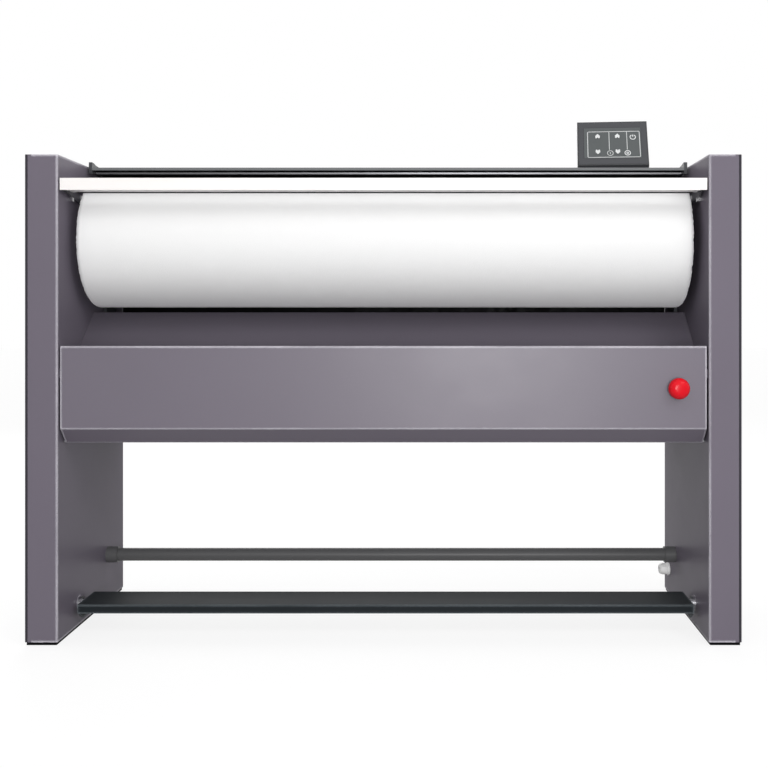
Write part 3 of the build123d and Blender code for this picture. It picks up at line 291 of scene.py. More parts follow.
def soft_rubber(name, colour):
    """Black rubber with a dusty bloom."""
    rubber = Shader(name, roughness=0.75, Specular_IOR_Level=0.05)
    dust = rubber.noise(scale=40.0, detail=5.0, roughness=0.7)
    bloom = rubber.remap(dust, span=(0.45, 0.8), target=(0.0, 0.6))
    rubber.colour(rubber.blend(bloom, colour, shade(colour, 1.7)))
    rubber.roughness(rubber.remap(dust, span=(0.3, 0.8), target=(0.66, 0.86)))
    skin_depth = 0.06
    rubber.bump((rubber.noise(scale=700.0, detail=2.0), skin_depth))
    return rubber.material


def loose_fibre(name, colour, scale, depth):
    """Felt or mineral wool: matted fibres with light and dark tufts."""
    fibre = Shader(name, roughness=0.95, Sheen_Weight=0.3)
    tufts = fibre.noise(scale, detail=6.0, roughness=0.75)
    strands = fibre.noise((scale * 9, scale * 2, scale * 2))
    fibre.colour(fibre.tones(tufts, colour, darkest=0.72, lightest=1.18))
    fibre.bump((tufts, depth), (strands, depth / 3))
    return fibre.material


def roller_cotton(name, colour, axis_y, axis_z, radius, threads_per_metre):
    """Plain-woven cotton laid round the roller: warp along X, weft round the axis."""
    cotton = Shader(name, roughness=0.86, Sheen_Weight=0.6)
    place = cotton.split(cotton.place)
    out_y = cotton.math("SUBTRACT", place["Y"], axis_y)
    out_z = cotton.math("SUBTRACT", place["Z"], axis_z)
    around = cotton.math("MULTIPLY", cotton.math("ARCTAN2", out_z, out_y), radius)
    turn = 2 * math.pi * threads_per_metre
    warp = cotton.math("SINE", cotton.math("MULTIPLY", place["X"], turn))
    weft = cotton.math("SINE", cotton.math("MULTIPLY", around, turn))
    weave = cotton.math("MULTIPLY", warp, weft)
    slub = cotton.noise(scale=(14.0, 240.0, 240.0))
    iron_marks = cotton.noise(scale=(1.2, 9.0, 9.0))
    base = cotton.blend(cotton.remap(weave, span=(-1.0, 1.0)), shade(colour, 0.96), colour)
    pressed = cotton.remap(iron_marks, span=(0.35, 0.75), target=(0.0, 0.5))
    cotton.colour(cotton.blend(pressed, base, shade(colour, 0.95)))
    weave_depth, slub_depth, mark_depth = 0.06, 0.1, 0.8
    cotton.bump((weave, weave_depth), (slub, slub_depth), (iron_marks, mark_depth))
    return cotton.material


# Colours follow the photograph.
BODY = srgb(112, 106, 117)
WARM_WHITE = srgb(246, 242, 240)
COTTON = srgb(243, 243, 243)
NEAR_BLACK = srgb(24, 24, 27)
SLATE = srgb(88, 88, 89)
KEYPAD = srgb(80, 84, 85)
BOX = srgb(76, 77, 80)
SIGN = srgb(222, 224, 224)
RED = srgb(216, 16, 32)
STEEL = srgb(176, 176, 180)
ZINC = srgb(168, 171, 176)

THREADS_PER_METRE = 900.0
EVEN_GRAIN = (300.0, 300.0, 300.0)

cloth_low, cloth_high = map(Vector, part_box("roller_cloth"))
roller_centre = (cloth_low + cloth_high) / 2
roller_radius = (cloth_high.z - cloth_low.z) / 2
roller_half = (cloth_high.x - cloth_low.x) / 2

FINISHES = {
    # On the body, panel and pedal, the lighter rims along the bends are partly wear and partly painted
    # highlight.
    "body_paint": powder_coat("body_paint", BODY, roughness=0.4, wear_and_sheen=0.9, gloss=0.05),
    "box_paint": powder_coat(
        "box_paint", BOX, roughness=0.45, peel=0.05, wear_and_sheen=0.8, rim=srgb(30, 30, 32)
    ),
    "chest_plate": brushed_metal(
        "polished_chest", srgb(105, 105, 108), roughness=0.36, grain=(12.0, 900.0, 900.0)
    ),
    "chest_cover": powder_coat("dark_cover_paint", srgb(104, 106, 108), roughness=0.35),
    "guard_white": powder_coat("white_enamel", WARM_WHITE, roughness=0.3, mottle=0.01, gloss=0.5),
    "pedal_grey": powder_coat(
        "pedal_paint", srgb(36, 40, 43), roughness=0.5, peel=0.04, wear_and_sheen=1.0,
        rim=srgb(104, 110, 114), gloss=0.04,
    ),
    "frame_grey": powder_coat("slate_paint", SLATE, roughness=0.35, gloss=0.15),
    "galvanised": galvanised_sheet("zinc_sheet", ZINC),
    "machined_steel": brushed_metal("turned_steel", STEEL, roughness=0.3, grain=(500.0, 60.0, 60.0)),
    "bearing_iron": cast_metal("cast_iron_paint", srgb(92, 94, 98), roughness=0.7),
    "motor_blue": cast_metal("motor_paint", srgb(66, 84, 110), roughness=0.5),
    "roller_cloth": roller_cotton(
        "roller_cotton", COTTON, roller_centre.y, roller_centre.z, roller_radius, THREADS_PER_METRE
    ),
    "roller_padding": loose_fibre("needle_felt", srgb(206, 200, 184), scale=90.0, depth=0.8),
    "mineral_wool": loose_fibre("mineral_wool", srgb(190, 178, 120), scale=45.0, depth=2.0),
    "black_rubber": soft_rubber("black_rubber", srgb(16, 16, 18)),
    "white_plastic": moulded_plastic("white_nylon", srgb(248, 248, 247), roughness=0.38),
    "black_plastic": moulded_plastic("black_nylon", NEAR_BLACK, roughness=0.42),
    "red_plastic": moulded_plastic(
        "red_button", RED, roughness=0.22, texture=0.004, Specular_IOR_Level=0.15
    ),
    "keypad_film": moulded_plastic("keypad_film", KEYPAD, roughness=0.36, texture=0.015),
    "key_grey": moulded_plastic("key_film", shade(KEYPAD, 1.12), roughness=0.36, texture=0.015),
    "board_green": moulded_plastic("board_green", srgb(24, 92, 52), roughness=0.3),
}
SIGN_INK = moulded_plastic("sign_ink", SIGN, roughness=0.5, texture=0.01)
SCREW_STEEL = brushed_metal("screw_zinc", srgb(150, 150, 152), roughness=0.35, grain=EVEN_GRAIN)
# The outer covers' edge faces are painted dark as shade along their seams with the columns.
SEAM_SHADED_PAINT = powder_coat(
    "seam_shaded_cover_paint", BODY, roughness=0.4, edge_shade=srgb(58, 56, 62), gloss=0.05
)
OWN_FINISH = {
    "left_outer_cover": SEAM_SHADED_PAINT,
    "right_outer_cover": SEAM_SHADED_PAINT,
    "front_panel": powder_coat("panel_paint", shade(BODY, 0.94), roughness=0.36, wear_and_sheen=0.9, gloss=0.3),
    # The slide takes the body paint darkened, as painted shade under the roller.
    "return_slide": powder_coat("shade_darkened_slide_paint", shade(BODY, 0.66), roughness=0.45, gloss=0.08),
    "chest_end_plates": powder_coat("end_plate_paint", srgb(62, 63, 66), roughness=0.4),
    "guard_pins": brushed_metal("bright_pin", srgb(236, 236, 238), roughness=0.22, grain=EVEN_GRAIN),
    # The guard arms take a dark paint as painted shade, so they sink into the shade under the bar.
    "guard_arms": powder_coat("shade_dark_arm_paint", srgb(52, 50, 56), roughness=0.5),
    # The rear panel's front-facing side is near-black: painted shade in the dark opening under the roller.
    "rear_panel": galvanised_sheet("zinc_sheet_shade_black_inside", ZINC, inner=srgb(14, 14, 15)),
}
slot_of = {part["node"]: part["material_slot"] for part in frame["record"]["subparts"]}
for node_name, node_object in frame["nodes"].items():
    finish = OWN_FINISH.get(node_name, FINISHES[slot_of[node_name]])
    for material_slot in node_object.material_slots:
        material_slot.material = finish


# ---------------------------------------------------------------- mesh helpers
def add_object(name, data):
    """A new object that is linked into the scene."""
    made = bpy.data.objects.new(name, data)
    bpy.context.scene.collection.objects.link(made)
    return made


def add_piece(name, mesh, body, record_slot, material=None, smooth=True):
    """Puts a mesh into the scene as a piece that rides on a body."""
    piece = add_object(name, mesh)
    mesh.materials.append(material or FINISHES[record_slot])
    for polygon in mesh.polygons:
        polygon.use_smooth = smooth
    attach(piece, body)
    return piece


def add_built(name, build, body, record_slot, material=None, smooth=True):
    """A piece whose mesh is made by a function that fills a bmesh."""
    shape = bmesh.new()
    build(shape)
    bmesh.ops.recalc_face_normals(shape, faces=shape.faces)
    mesh = bpy.data.meshes.new(name)
    shape.to_mesh(mesh)
    shape.free()
    return add_piece(name, mesh, body, record_slot, material, smooth)


def basis(origin, along):
    """A matrix whose Z runs along a direction, from an origin."""
    turn = Z_AXIS.rotation_difference(Vector(along).normalized())
    return Matrix.Translation(origin) @ turn.to_matrix().to_4x4()


def bridge(shape, first, second):
    """Faces between two closed rings with as many points each."""
    for step in range(len(first)):
        following = (step + 1) % len(first)
        shape.faces.new((first[step], first[following], second[following], second[step]))


def add_lathe(shape, profile, place, segments, wobble=None):
    """Turns a profile of (height, radius) round a place's Z; wobble(angle, height, radius) moves points."""
    rings = []
    for height, radius in profile:
        ring = []
        for step in range(segments):
            angle = 2 * math.pi * step / segments
            reach, rise = (radius, height) if wobble is None else wobble(angle, height, radius)
            point = Vector((reach * math.cos(angle), reach * math.sin(angle), rise))
            ring.append(shape.verts.new(place @ point))
        rings.append(ring)
    for lower, upper in zip(rings, rings[1:]):
        bridge(shape, lower, upper)
    return rings


def arc_profile(centre, radius, start, end, steps):
    """Points on an arc, as (height, radius) pairs; angles in degrees from the height axis."""
    points = []
    for step in range(steps + 1):
        angle = math.radians(start + (end - start) * step / steps)
        points.append((centre[0] + radius * math.cos(angle), centre[1] + radius * math.sin(angle)))
    return points


def add_outline(shape, outline, place, height):
    """An outline's points at a height above a place's own XY."""
    return [shape.verts.new(place @ Vector((x, y, height))) for x, y in outline]


def add_plate(shape, outline, place, depth):
    """A thin plate with the given outline in a place's own XY, raised along its Z."""
    lower = add_outline(shape, outline, place, 0)
    upper = add_outline(shape, outline, place, depth)
    shape.faces.new(upper)
    shape.faces.new(lower)
    bridge(shape, lower, upper)


def add_strip(shape, outer, inner, place, depth):
    """A closed raised band between two outlines with as many points each."""
    rows = [
        add_outline(shape, outline, place, height)
        for outline, height in ((outer, 0), (outer, depth), (inner, depth), (inner, 0))
    ]
    for row, next_row in zip(rows, rows[1:] + rows[:1]):
        bridge(shape, row, next_row)


def rounded_rectangle(width, height, radius, centre=(0.0, 0.0), corner_steps=5):
    """The outline of a rectangle with round corners."""
    outline = []
    corners = ((1, 1, 0), (-1, 1, 90), (-1, -1, 180), (1, -1, 270))
    for sign_x, sign_y, start in corners:
        for step in range(corner_steps + 1):
            angle = math.radians(start + 90 * step / corner_steps)
            outline.append((
                centre[0] + sign_x * (width / 2 - radius) + radius * math.cos(angle),
                centre[1] + sign_y * (height / 2 - radius) + radius * math.sin(angle),
            ))
    return outline


def arc_outline(radius, angles):
    """Points at the given angles on a circle."""
    return [(radius * math.cos(angle), radius * math.sin(angle)) for angle in angles]


def circle(radius, steps=32):
    """The outline of a circle."""
    return arc_outline(radius, [2 * math.pi * step / steps for step in range(steps)])


def noise_round(angle, height, along, around):
    """Noise over a cylinder, with its scales along the axis and round it."""
    return noise.noise(Vector((height * along, math.cos(angle) * around, math.sin(angle) * around)))


# ---------------------------------------------------------------- roller cloth and padding
END_ROUND = 13 * MM
HEM_RADIUS = 118 * MM
PUCKERS = 46
PUCKER_DEPTH = 2.2 * MM
PUCKER_DRIFT = 0.7
DRIFT_WAVES = 3
CLOTH_THICKNESS = 1.6 * MM
FRAY_DEPTH = 3.5 * MM
FRAY_SCALE = 24
WAVE_HEIGHT = 0.35 * MM
WAVE_SCALES = (3.0, 2.2)
ROLLER_SEGMENTS = 224
HEM_RINGS = 6
ROUND_RINGS = 9
BODY_RINGS = 70


def cloth_profile(radius, half, round_radius, hem):
    """Profile of the covered roller, from the hem on one end to the hem on the other."""
    left_end = [
        (-half, hem + (radius - round_radius - hem) * step / HEM_RINGS) for step in range(HEM_RINGS)
    ]
    round_centre = (-half + round_radius, radius - round_radius)
    left_round = arc_profile(round_centre, round_radius, 180, 90, ROUND_RINGS)
    middle = [
        (-half + round_radius + (2 * half - 2 * round_radius) * step / BODY_RINGS, radius)
        for step in range(1, BODY_RINGS)
    ]
    mirrored = [(-height, reach) for height, reach in reversed(left_end + left_round)]
    return left_end + left_round + middle + mirrored


def cloth_wobble(inset):
    """Puckers towards the gathered hem, a frayed edge and faint waves round the body."""

    def moved(angle, height, radius):
        past_round = min(1.0, max(0.0, (roller_radius - radius) / (roller_radius - HEM_RADIUS)))
        phase = PUCKERS * angle + PUCKER_DRIFT * math.sin(DRIFT_WAVES * angle)
        pucker = PUCKER_DEPTH * past_round * math.sin(phase)
        wave = WAVE_HEIGHT * noise_round(angle, height, *WAVE_SCALES) - WAVE_HEIGHT - inset
        inward = -1 if height > 0 else 1
        on_round = max(0.0, (abs(height) - roller_half + END_ROUND) / END_ROUND)
        thread = Vector((math.cos(angle) * FRAY_SCALE, math.sin(angle) * FRAY_SCALE, height))
        frayed = FRAY_DEPTH * on_round * abs(noise.noise(thread))
        return radius + wave, height + inward * (abs(pucker) + frayed + inset)

    return moved


roller_place = basis(roller_centre, X_AXIS)


def build_cloth(shape):
    profile = cloth_profile(roller_radius, roller_half, END_ROUND, HEM_RADIUS)
    outer = add_lathe(shape, profile, roller_place, ROLLER_SEGMENTS, cloth_wobble(0.0))
    inner = add_lathe(shape, profile, roller_place, ROLLER_SEGMENTS, cloth_wobble(CLOTH_THICKNESS))
    bridge(shape, outer[0], inner[0])
    bridge(shape, outer[-1], inner[-1])


cloth = add_built("roller_cover_cloth", build_cloth, "roller", "roller_cloth")
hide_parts("roller_cloth")

felt_low, felt_high = map(Vector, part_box("roller_padding"))
drum_low, drum_high = map(Vector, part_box("roller_drum"))
FELT_RINGS = 40
FELT_EDGE = 3 * MM
FELT_LUMPS = 0.5 * MM
FELT_LUMP_SCALES = (30, 5)


def build_felt(shape):
    outer = (felt_high.z - felt_low.z) / 2 - 2 * FELT_LUMPS
    inner = (drum_high.z - drum_low.z) / 2
    half = (felt_high.x - felt_low.x) / 2
    profile = [(-half, inner), (-half, outer - FELT_EDGE), (-half + FELT_EDGE, outer)]
    profile += [(-half + 2 * half * step / FELT_RINGS, outer) for step in range(1, FELT_RINGS)]
    profile += [(half - FELT_EDGE, outer), (half, outer - FELT_EDGE), (half, inner)]

    def lumps(angle, height, radius):
        outside = radius > inner
        swell = FELT_LUMPS * noise_round(angle, height, *FELT_LUMP_SCALES) if outside else 0.0
        return radius + swell, height

    rings = add_lathe(shape, profile, roller_place, ROLLER_SEGMENTS, lumps)
    bridge(shape, rings[-1], rings[0])


felt = add_built("felt_wrap", build_felt, "roller", "roller_padding")
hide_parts("roller_padding")


# ---------------------------------------------------------------- mineral wool behind the chest
WOOL_VOXEL = 9 * MM
WOOL_ROUGHNESS = 1.5 * MM
WOOL_LUMP_SCALE = 55


def wool_blanket():
    """The insulation's solid with soft, lumpy faces."""
    source = frame["nodes"]["chest_insulation"]
    mesh = source.data.copy()
    mesh.materials.clear()
    wool = add_piece("wool_blanket", mesh, "chest", "mineral_wool")
    remesh = wool.modifiers.new("even_mesh", "REMESH")
    remesh.mode = "VOXEL"
    remesh.voxel_size = WOOL_VOXEL
    depsgraph = bpy.context.evaluated_depsgraph_get()
    even = bpy.data.meshes.new_from_object(wool.evaluated_get(depsgraph))
    wool.modifiers.clear()
    wool.data = even
    for vertex in even.vertices:
        lump = noise.noise(vertex.co * WOOL_LUMP_SCALE) - 1.0
        vertex.co += vertex.normal * lump * WOOL_ROUGHNESS
    for polygon in even.polygons:
        polygon.use_smooth = True
    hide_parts("chest_insulation")


wool_blanket()


# ---------------------------------------------------------------- mushroom push button
cap_low, cap_high = map(Vector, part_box("button_cap"))
cap_centre = (cap_low + cap_high) / 2
cap_place = basis((cap_centre.x, cap_high.y, cap_centre.z), (0, -1, 0))
CAP_SEGMENTS = 96
CAP_SKIRT = 6 * MM
CAP_LIP = 1.2 * MM
CAP_LIP_STEPS = 5
CAP_BORE = 6.5 * MM
CAP_BORE_DEPTH = 9.5 * MM
CAP_BORE_TIP = 0.4 * MM
CAP_BORE_EDGE = 0.6 * MM
CAP_TIP = 0.2 * MM
DOME_STEPS = 18
DOME_RISE_POWER = 1.15
DOME_REACH_POWER = 0.62


def build_cap(shape):
    """A mushroom with a blind bore, a rounded lip, a skirt and a flattened dome."""
    radius = (cap_high.x - cap_low.x) / 2
    depth = cap_high.y - cap_low.y
    profile = [
        (CAP_BORE_DEPTH, CAP_BORE_TIP), (CAP_BORE_DEPTH, CAP_BORE),
        (CAP_BORE_EDGE, CAP_BORE), (0, CAP_BORE + CAP_BORE_EDGE),
    ]
    profile += arc_profile((CAP_LIP, radius - CAP_LIP), CAP_LIP, 180, 90, CAP_LIP_STEPS)
    for step in range(DOME_STEPS):
        angle = math.radians(90 * step / DOME_STEPS)
        rise = CAP_SKIRT + (depth - CAP_SKIRT) * math.sin(angle) ** DOME_RISE_POWER
        profile.append((rise, radius * math.cos(angle) ** DOME_REACH_POWER))
    profile.append((depth, CAP_TIP))
    rings = add_lathe(shape, profile, cap_place, CAP_SEGMENTS)
    shape.faces.new(rings[0])
    shape.faces.new(rings[-1])


cap = add_built("mushroom_cap", build_cap, "button_cap", "red_plastic")
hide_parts("button_cap")


# ---------------------------------------------------------------- cable gland
gland_low, gland_high = map(Vector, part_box("cable_gland"))
gland_centre = (gland_low + gland_high) / 2
column_low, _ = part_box("right_column")
GLAND_SEGMENTS = 72
GLAND_FLANGE = 6 * MM
GLAND_EDGE = 0.6 * MM
GLAND_NECK_RADIUS = 9.9 * MM
GLAND_NUT_RADIUS = 14.0 * MM
GLAND_NUT_RINGS = 4
GLAND_RIBS = 18
GLAND_RIB = 0.45 * MM
GLAND_BORE = 6 * MM
GLAND_DOME = 9 * MM
GLAND_DOME_STEPS = 8
GLAND_MOUTH = 1.5 * MM
GLAND_MOUTH_EDGE = 1 * MM


def build_gland(shape):
    """Neck in the wall, flange, ribbed nut, dome and a bore right through."""
    wall_x = column_low[0]
    length = wall_x - gland_low.x
    flange_radius = (gland_high.z - gland_low.z) / 2
    tail = gland_high.x - wall_x
    place = basis((wall_x, gland_centre.y, gland_centre.z), (-1, 0, 0))
    profile = [
        (-tail, GLAND_BORE), (-tail, GLAND_NECK_RADIUS), (0, GLAND_NECK_RADIUS),
        (0, flange_radius - GLAND_EDGE), (GLAND_EDGE, flange_radius),
        (GLAND_FLANGE - GLAND_EDGE, flange_radius), (GLAND_FLANGE, flange_radius - GLAND_EDGE),
        (GLAND_FLANGE, GLAND_NUT_RADIUS),
    ]
    nut_end = length - GLAND_DOME
    for step in range(1, GLAND_NUT_RINGS + 1):
        height = GLAND_FLANGE + step * (nut_end - GLAND_FLANGE) / GLAND_NUT_RINGS
        profile.append((height, GLAND_NUT_RADIUS))
    for step in range(1, GLAND_DOME_STEPS):
        angle = math.radians(90 * step / GLAND_DOME_STEPS)
        rise = nut_end + (length - nut_end) * math.sin(angle)
        taper = (GLAND_NUT_RADIUS - GLAND_BORE - GLAND_MOUTH) * math.cos(angle)
        profile.append((rise, GLAND_BORE + GLAND_MOUTH + taper))
    profile += [(length, GLAND_BORE + GLAND_MOUTH_EDGE), (length - GLAND_MOUTH, GLAND_BORE)]

    def ribbed(angle, height, radius):
        on_nut = GLAND_FLANGE < height <= nut_end and radius >= GLAND_NUT_RADIUS
        return radius + (GLAND_RIB * math.cos(GLAND_RIBS * angle) if on_nut else 0.0), height

    rings = add_lathe(shape, profile, place, GLAND_SEGMENTS, ribbed)
    bridge(shape, rings[-1], rings[0])


gland = add_built("dome_gland", build_gland, "frame", "white_plastic")
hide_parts("cable_gland")


# ---------------------------------------------------------------- keypad signs
# The Y of a normal below which a face looks forward, and the share of the largest area that makes it broad
TOWARDS_FRONT = -0.5
BROAD_SHARE = 0.3


def face_place(node_name):
    """A matrix on the middle of a node's foremost broad face: X to the right, Z out to the operator."""
    mesh = frame["nodes"][node_name].data
    levels = {}
    for polygon in mesh.polygons:
        key = (*[round(value, 2) for value in polygon.normal], round(polygon.center.dot(polygon.normal), 4))
        levels.setdefault(key, []).append(polygon)
    areas = {
        key: sum(polygon.area for polygon in group)
        for key, group in levels.items() if key[1] < TOWARDS_FRONT
    }
    broad = [key for key, area in areas.items() if area > BROAD_SHARE * max(areas.values())]
    foremost = levels[max(broad, key=lambda key: key[3])]
    normal = foremost[0].normal.copy()
    right = Z_AXIS.cross(normal).normalized()
    up = normal.cross(right)
    corners = [mesh.vertices[index].co for polygon in foremost for index in polygon.vertices]
    middle = Vector((0, 0, 0))
    for direction in (right, up):
        reaches = [corner.dot(direction) for corner in corners]
        middle += direction * (min(reaches) + max(reaches)) / 2
    middle += normal * corners[0].dot(normal)
    return Matrix.Translation(middle) @ Matrix((right, up, normal)).transposed().to_4x4()


INK = 0.15 * MM
FRAME_LEFT = -62.8 * MM
FRAME_RIGHT = 68.6 * MM
FRAME_TOP = 39.8 * MM
FRAME_BOTTOM = -50.0 * MM
FRAME_CORNER = 4 * MM
FRAME_INNER_CORNER = 2 * MM
DIVIDERS = (-8.3 * MM, 36.1 * MM)
DIVIDER_FOOT = -24.0 * MM
DIVIDER_CORNER = 1 * MM
LINE = 1.6 * MM
film_place = face_place("keypad_overlay")


def build_keypad_lines(shape):
    """The frame line round the keys and the two lines that divide it."""
    width = FRAME_RIGHT - FRAME_LEFT
    height = FRAME_TOP - FRAME_BOTTOM
    centre = ((FRAME_RIGHT + FRAME_LEFT) / 2, (FRAME_TOP + FRAME_BOTTOM) / 2)
    outer = rounded_rectangle(width, height, FRAME_CORNER, centre)
    inner = rounded_rectangle(width - 2 * LINE, height - 2 * LINE, FRAME_INNER_CORNER, centre)
    add_strip(shape, outer, inner, film_place, INK)
    for divider in DIVIDERS:
        middle = (divider, (FRAME_TOP - LINE + DIVIDER_FOOT) / 2)
        bar = rounded_rectangle(LINE, FRAME_TOP - LINE - DIVIDER_FOOT, DIVIDER_CORNER, middle)
        add_plate(shape, bar, film_place, INK)


add_built("keypad_lines", build_keypad_lines, "control_box", "keypad_film", SIGN_INK, smooth=False)

# Right half and left half of an arrow that points up, in millimetres
ARROW = ((0, 8.0), (6.0, 1.0), (5.2, -7.2), (2.2, -7.2), (0, -3.6), (-2.2, -7.2), (-5.2, -7.2), (-6.0, 1.0))
RING_RADIUS = 7.9 * MM
RING_LINE = 2.2 * MM
THIN_RING_LINE = 1.3 * MM
RING_HEIGHT = 1.12
POWER_GAP = 50.0
POWER_STEPS = 30
POWER_STROKE = 7 * MM
POWER_STROKE_RISE = 5 * MM
START_BAR = 6.4 * MM
STROKE_CORNER = 0.6 * MM
STOP_DOT = 3.2 * MM
STOP_DOT_HOLE = 1.4 * MM
STOP_DOT_STEPS = 24


def build_arrow(shape, place, flip=1):
    outline = [(x * MM, flip * y * MM) for x, y in ARROW]
    add_plate(shape, outline[::flip], place, INK)


def build_down_arrow(shape, place):
    build_arrow(shape, place, flip=-1)


def tall(outline):
    """The same outline, drawn taller, because the operator reads the keypad at a slant."""
    return [(x, y * RING_HEIGHT) for x, y in outline]


def build_ring(shape, place, line=RING_LINE):
    add_strip(shape, tall(circle(RING_RADIUS)), tall(circle(RING_RADIUS - line)), place, INK)


def build_power(shape, place):
    """A ring open at the top with an upright stroke in the gap."""
    start = math.radians(90 + POWER_GAP / 2)
    sweep = 2 * math.pi - math.radians(POWER_GAP)
    angles = [start + sweep * step / POWER_STEPS for step in range(POWER_STEPS + 1)]
    outer = tall(arc_outline(RING_RADIUS, angles))
    inner = tall(arc_outline(RING_RADIUS - RING_LINE, angles))
    for step in range(POWER_STEPS):
        corners = (outer[step], outer[step + 1], inner[step + 1], inner[step])
        add_plate(shape, corners, place, INK)
    stroke = rounded_rectangle(RING_LINE, POWER_STROKE, STROKE_CORNER, (0, POWER_STROKE_RISE))
    add_plate(shape, stroke, place, INK)


def build_start(shape, place):
    """A thin ring round an upright bar."""
    build_ring(shape, place, THIN_RING_LINE)
    add_plate(shape, rounded_rectangle(THIN_RING_LINE, START_BAR, STROKE_CORNER), place, INK)


def build_stop(shape, place):
    """A ring round a smaller one."""
    build_ring(shape, place)
    dot = tall(circle(STOP_DOT, STOP_DOT_STEPS))
    add_strip(shape, dot, tall(circle(STOP_DOT_HOLE, STOP_DOT_STEPS)), place, INK)


SIGNS = {
    "up_key_left": build_arrow,
    "up_key_right": build_arrow,
    "down_key_left": build_down_arrow,
    "down_key_right": build_down_arrow,
    "power_key": build_power,
    "start_key": build_start,
    "stop_key": build_stop,
}
for key_name, build_sign in SIGNS.items():
    key_place = face_place(key_name)
    add_built(
        f"{key_name}_sign", lambda shape: build_sign(shape, key_place),
        key_name, "key_grey", SIGN_INK, smooth=False,
    )


# ---------------------------------------------------------------- black strip under the guard bar, a painted shadow line
bar_low, bar_high = map(Vector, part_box("guard_bar"))
SHADOW_STRIP_HEIGHT = 3.4 * MM
SHADOW_STRIP_THICKNESS = 2.4 * MM
SHADOW_STRIP_SEAT = 1 * MM
SHADOW_STRIP_END_INSET = 22 * MM
SHADOW_STRIP_CORNER = 0.8 * MM


# A black strip along the bar's lower back edge stands in for the shadow line under the bar: painted shadow.
def build_guard_shadow_strip(shape):
    height = bar_low.z + SHADOW_STRIP_SEAT - SHADOW_STRIP_HEIGHT / 2
    start = Vector((bar_low.x + SHADOW_STRIP_END_INSET, bar_high.y - SHADOW_STRIP_THICKNESS, height))
    outline = rounded_rectangle(SHADOW_STRIP_HEIGHT, SHADOW_STRIP_THICKNESS, SHADOW_STRIP_CORNER, corner_steps=3)
    add_plate(shape, outline, basis(start, X_AXIS), bar_high.x - bar_low.x - 2 * SHADOW_STRIP_END_INSET)


add_built("guard_shadow_strip", build_guard_shadow_strip, "guard", "black_rubber", smooth=False)


# ---------------------------------------------------------------- screws
SCREW_SEGMENTS = 24
SCREW_SINK = 0.4 * MM
SCREW_RADIUS = 4.2 * MM
SCREW_HEIGHT = 2.2 * MM
# Shares of the head's height, then of its radius
HEAD_SIDE, HEAD_CROWN = 0.45, 0.55
HEAD_FLAT, HEAD_ROUND = 0.55, 0.45
HEAD_ROUND_ANGLES = (30, 60, 90)
SOCKET_REACH = 0.42
SOCKET_DEPTH = 0.6
COVER_SCREW_INSET = 22 * MM
COVER_SCREW_ROWS = 5
REAR_SCREW_INSET = 14 * MM
REAR_SCREW_COUNT = 7


def add_screw(shape, position, outward):
    """A pan head with a round socket, seated a little into its sheet."""
    place = basis(Vector(position) - Vector(outward) * SCREW_SINK, outward)
    profile = [(0, SCREW_RADIUS), (SCREW_SINK + SCREW_HEIGHT * HEAD_SIDE, SCREW_RADIUS)]
    for angle in map(math.radians, HEAD_ROUND_ANGLES):
        rise = SCREW_SINK + SCREW_HEIGHT * (HEAD_SIDE + HEAD_CROWN * math.sin(angle))
        profile.append((rise, SCREW_RADIUS * (HEAD_FLAT + HEAD_ROUND * math.cos(angle))))
    rings = add_lathe(shape, profile, place, SCREW_SEGMENTS)
    shape.faces.new(rings[0])
    socket = circle(SCREW_RADIUS * SOCKET_REACH, SCREW_SEGMENTS)
    top = SCREW_SINK + SCREW_HEIGHT
    rim = add_outline(shape, socket, place, top)
    bottom = add_outline(shape, socket, place, top - SCREW_HEIGHT * SOCKET_DEPTH)
    bridge(shape, rings[-1], rim)
    bridge(shape, rim, bottom)
    shape.faces.new(bottom)


def add_screws(name, spots, outward):
    """One piece with all the screws of a cover."""
    add_built(
        name, lambda shape: [add_screw(shape, spot, outward) for spot in spots],
        "frame", "machined_steel", SCREW_STEEL,
    )


def spaced(low, high, inset, count):
    """Even places between two ends, with an inset from each."""
    return [low + inset + step / (count - 1) * (high - low - 2 * inset) for step in range(count)]


def cover_screws(side_name, side):
    """Screws round the rim of a column's outer cover."""
    low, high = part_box(f"{side_name}_outer_cover")
    face_x = high[0] if side > 0 else low[0]
    spots = []
    for height in spaced(low[2], high[2], COVER_SCREW_INSET, COVER_SCREW_ROWS):
        spots += [(face_x, low[1] + COVER_SCREW_INSET, height), (face_x, high[1] - COVER_SCREW_INSET, height)]
    middle_y = (low[1] + high[1]) / 2
    spots += [(face_x, middle_y, low[2] + COVER_SCREW_INSET), (face_x, middle_y, high[2] - COVER_SCREW_INSET)]
    add_screws(f"{side_name}_cover_screws", spots, (side, 0, 0))


cover_screws("left", -1)
cover_screws("right", 1)

rear_low, rear_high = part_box("rear_panel")
rear_spots = []
for across in spaced(rear_low[0], rear_high[0], REAR_SCREW_INSET, REAR_SCREW_COUNT):
    rear_spots += [
        (across, rear_high[1], rear_low[2] + REAR_SCREW_INSET),
        (across, rear_high[1], rear_high[2] - REAR_SCREW_INSET),
    ]
add_screws("rear_screws", rear_spots, (0, 1, 0))


# ---------------------------------------------------------------- stage, world, lamps and camera
STAGE_SIZE = 40.0
FLOOR_COLOUR = (0.18, 0.18, 0.18, 1.0)
FLOOR_GLOW = 0.82
WORLD_LIGHT = 0.385


def background_rays(tree):
    """1 for the rays that show the background: from the camera, in gloss and through glass."""
    rays = tree.nodes.new("ShaderNodeLightPath")
    seen = rays.outputs["Is Camera Ray"]
    for ray_kind in ("Is Glossy Ray", "Is Transmission Ray"):
        joined = tree.nodes.new("ShaderNodeMath")
        joined.operation = "MAXIMUM"
        tree.links.new(seen, joined.inputs[0])
        tree.links.new(rays.outputs[ray_kind], joined.inputs[1])
        seen = joined.outputs["Value"]
    return seen


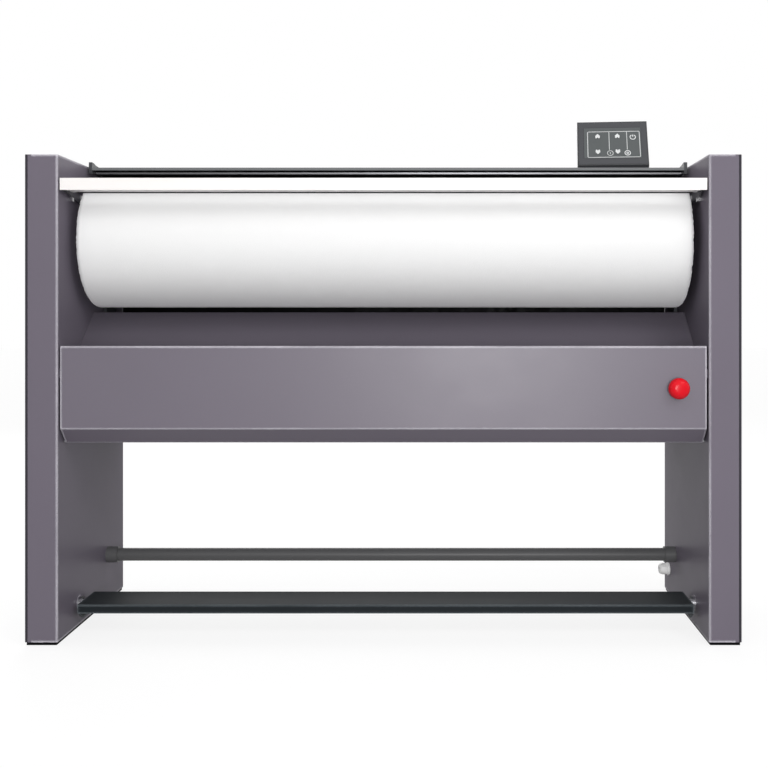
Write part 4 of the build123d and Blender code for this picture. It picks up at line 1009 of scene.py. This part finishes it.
def stage_material():
    """Pale floor: white to the camera and in reflections, while it keeps the shadow."""
    pale = Shader("pale_floor", roughness=0.8)
    pale.colour(FLOOR_COLOUR)
    pale.surface.inputs["Emission Color"].default_value = WHITE
    glow = pale.math("MULTIPLY", background_rays(pale.tree), FLOOR_GLOW)
    pale.link(glow, pale.surface.inputs["Emission Strength"])
    return pale.material


floor_mesh = bpy.data.meshes.new("floor")
edge = STAGE_SIZE / 2
floor_corners = [(-edge, -edge, 0), (edge, -edge, 0), (edge, edge, 0), (-edge, edge, 0)]
floor_mesh.from_pydata(floor_corners, [], [(0, 1, 2, 3)])
floor_mesh.materials.append(stage_material())
floor = add_object("floor", floor_mesh)

world = bpy.data.worlds.new("white_studio")
bpy.context.scene.world = world
world.use_nodes = True
sky = world.node_tree
background = sky.nodes["Background"]
background.inputs["Color"].default_value = WHITE
strength = sky.nodes.new("ShaderNodeMapRange")
strength.inputs["To Min"].default_value = WORLD_LIGHT
strength.inputs["To Max"].default_value = 1.0
sky.links.new(background_rays(sky), strength.inputs["Value"])
sky.links.new(strength.outputs["Result"], background.inputs["Strength"])

# Name, place, the point it is aimed at, width and height, and power in watts
LAMPS = (
    ("overhead", (0.3, -1.6, 2.5), (0.0, 0.0, 0.8), (3.0, 0.8), 11.0),
    ("high_softbox", (0.6, -4.0, 2.1), (0.1, 0.0, 0.8), (4.6, 1.5), 21.0),
    ("strip_softbox", (0.38, -4.2, 0.72), (0.2, 0.0, 0.6), (0.9, 1.2), 91.0),
    ("right_softbox", (2.1, -2.4, 2.5), (0.4, 0.0, 0.9), (1.0, 1.0), 15.0),
    ("rear_softbox", (-0.8, 3.8, 2.2), (0.0, 0.0, 0.6), (3.4, 1.6), 38.0),
    ("left_fill", (-3.6, 0.4, 1.5), (0.0, 0.0, 0.6), (1.6, 1.6), 16.0),
    ("right_fill", (3.6, 0.4, 1.5), (0.0, 0.0, 0.6), (1.6, 1.6), 16.0),
)
for lamp_name, position, target, size, power in LAMPS:
    lamp = bpy.data.lights.new(lamp_name, "AREA")
    lamp.shape = "RECTANGLE"
    lamp.size, lamp.size_y = size
    lamp.energy = power
    light = add_object(lamp_name, lamp)
    light.location = position
    light.rotation_euler = (Vector(target) - Vector(position)).to_track_quat("-Z", "Y").to_euler()
    light.visible_camera = False

CAMERA_PLACE = (0.1377, -2.575, 0.7305)
CAMERA_TURN = (math.radians(90), 0, 0)
CAMERA_SHIFT = (-0.0806, -0.0916)
CAMERA_LENS = 50.0
SENSOR_WIDTH = 36.0
camera_data = bpy.data.cameras.new("photo_camera")
camera_data.sensor_width = SENSOR_WIDTH
camera_data.lens = CAMERA_LENS
camera_data.shift_x, camera_data.shift_y = CAMERA_SHIFT
camera = add_object("photo_camera", camera_data)
camera.location = CAMERA_PLACE
camera.rotation_euler = CAMERA_TURN
bpy.context.scene.camera = camera
bpy.context.scene.view_settings.view_transform = "Standard"
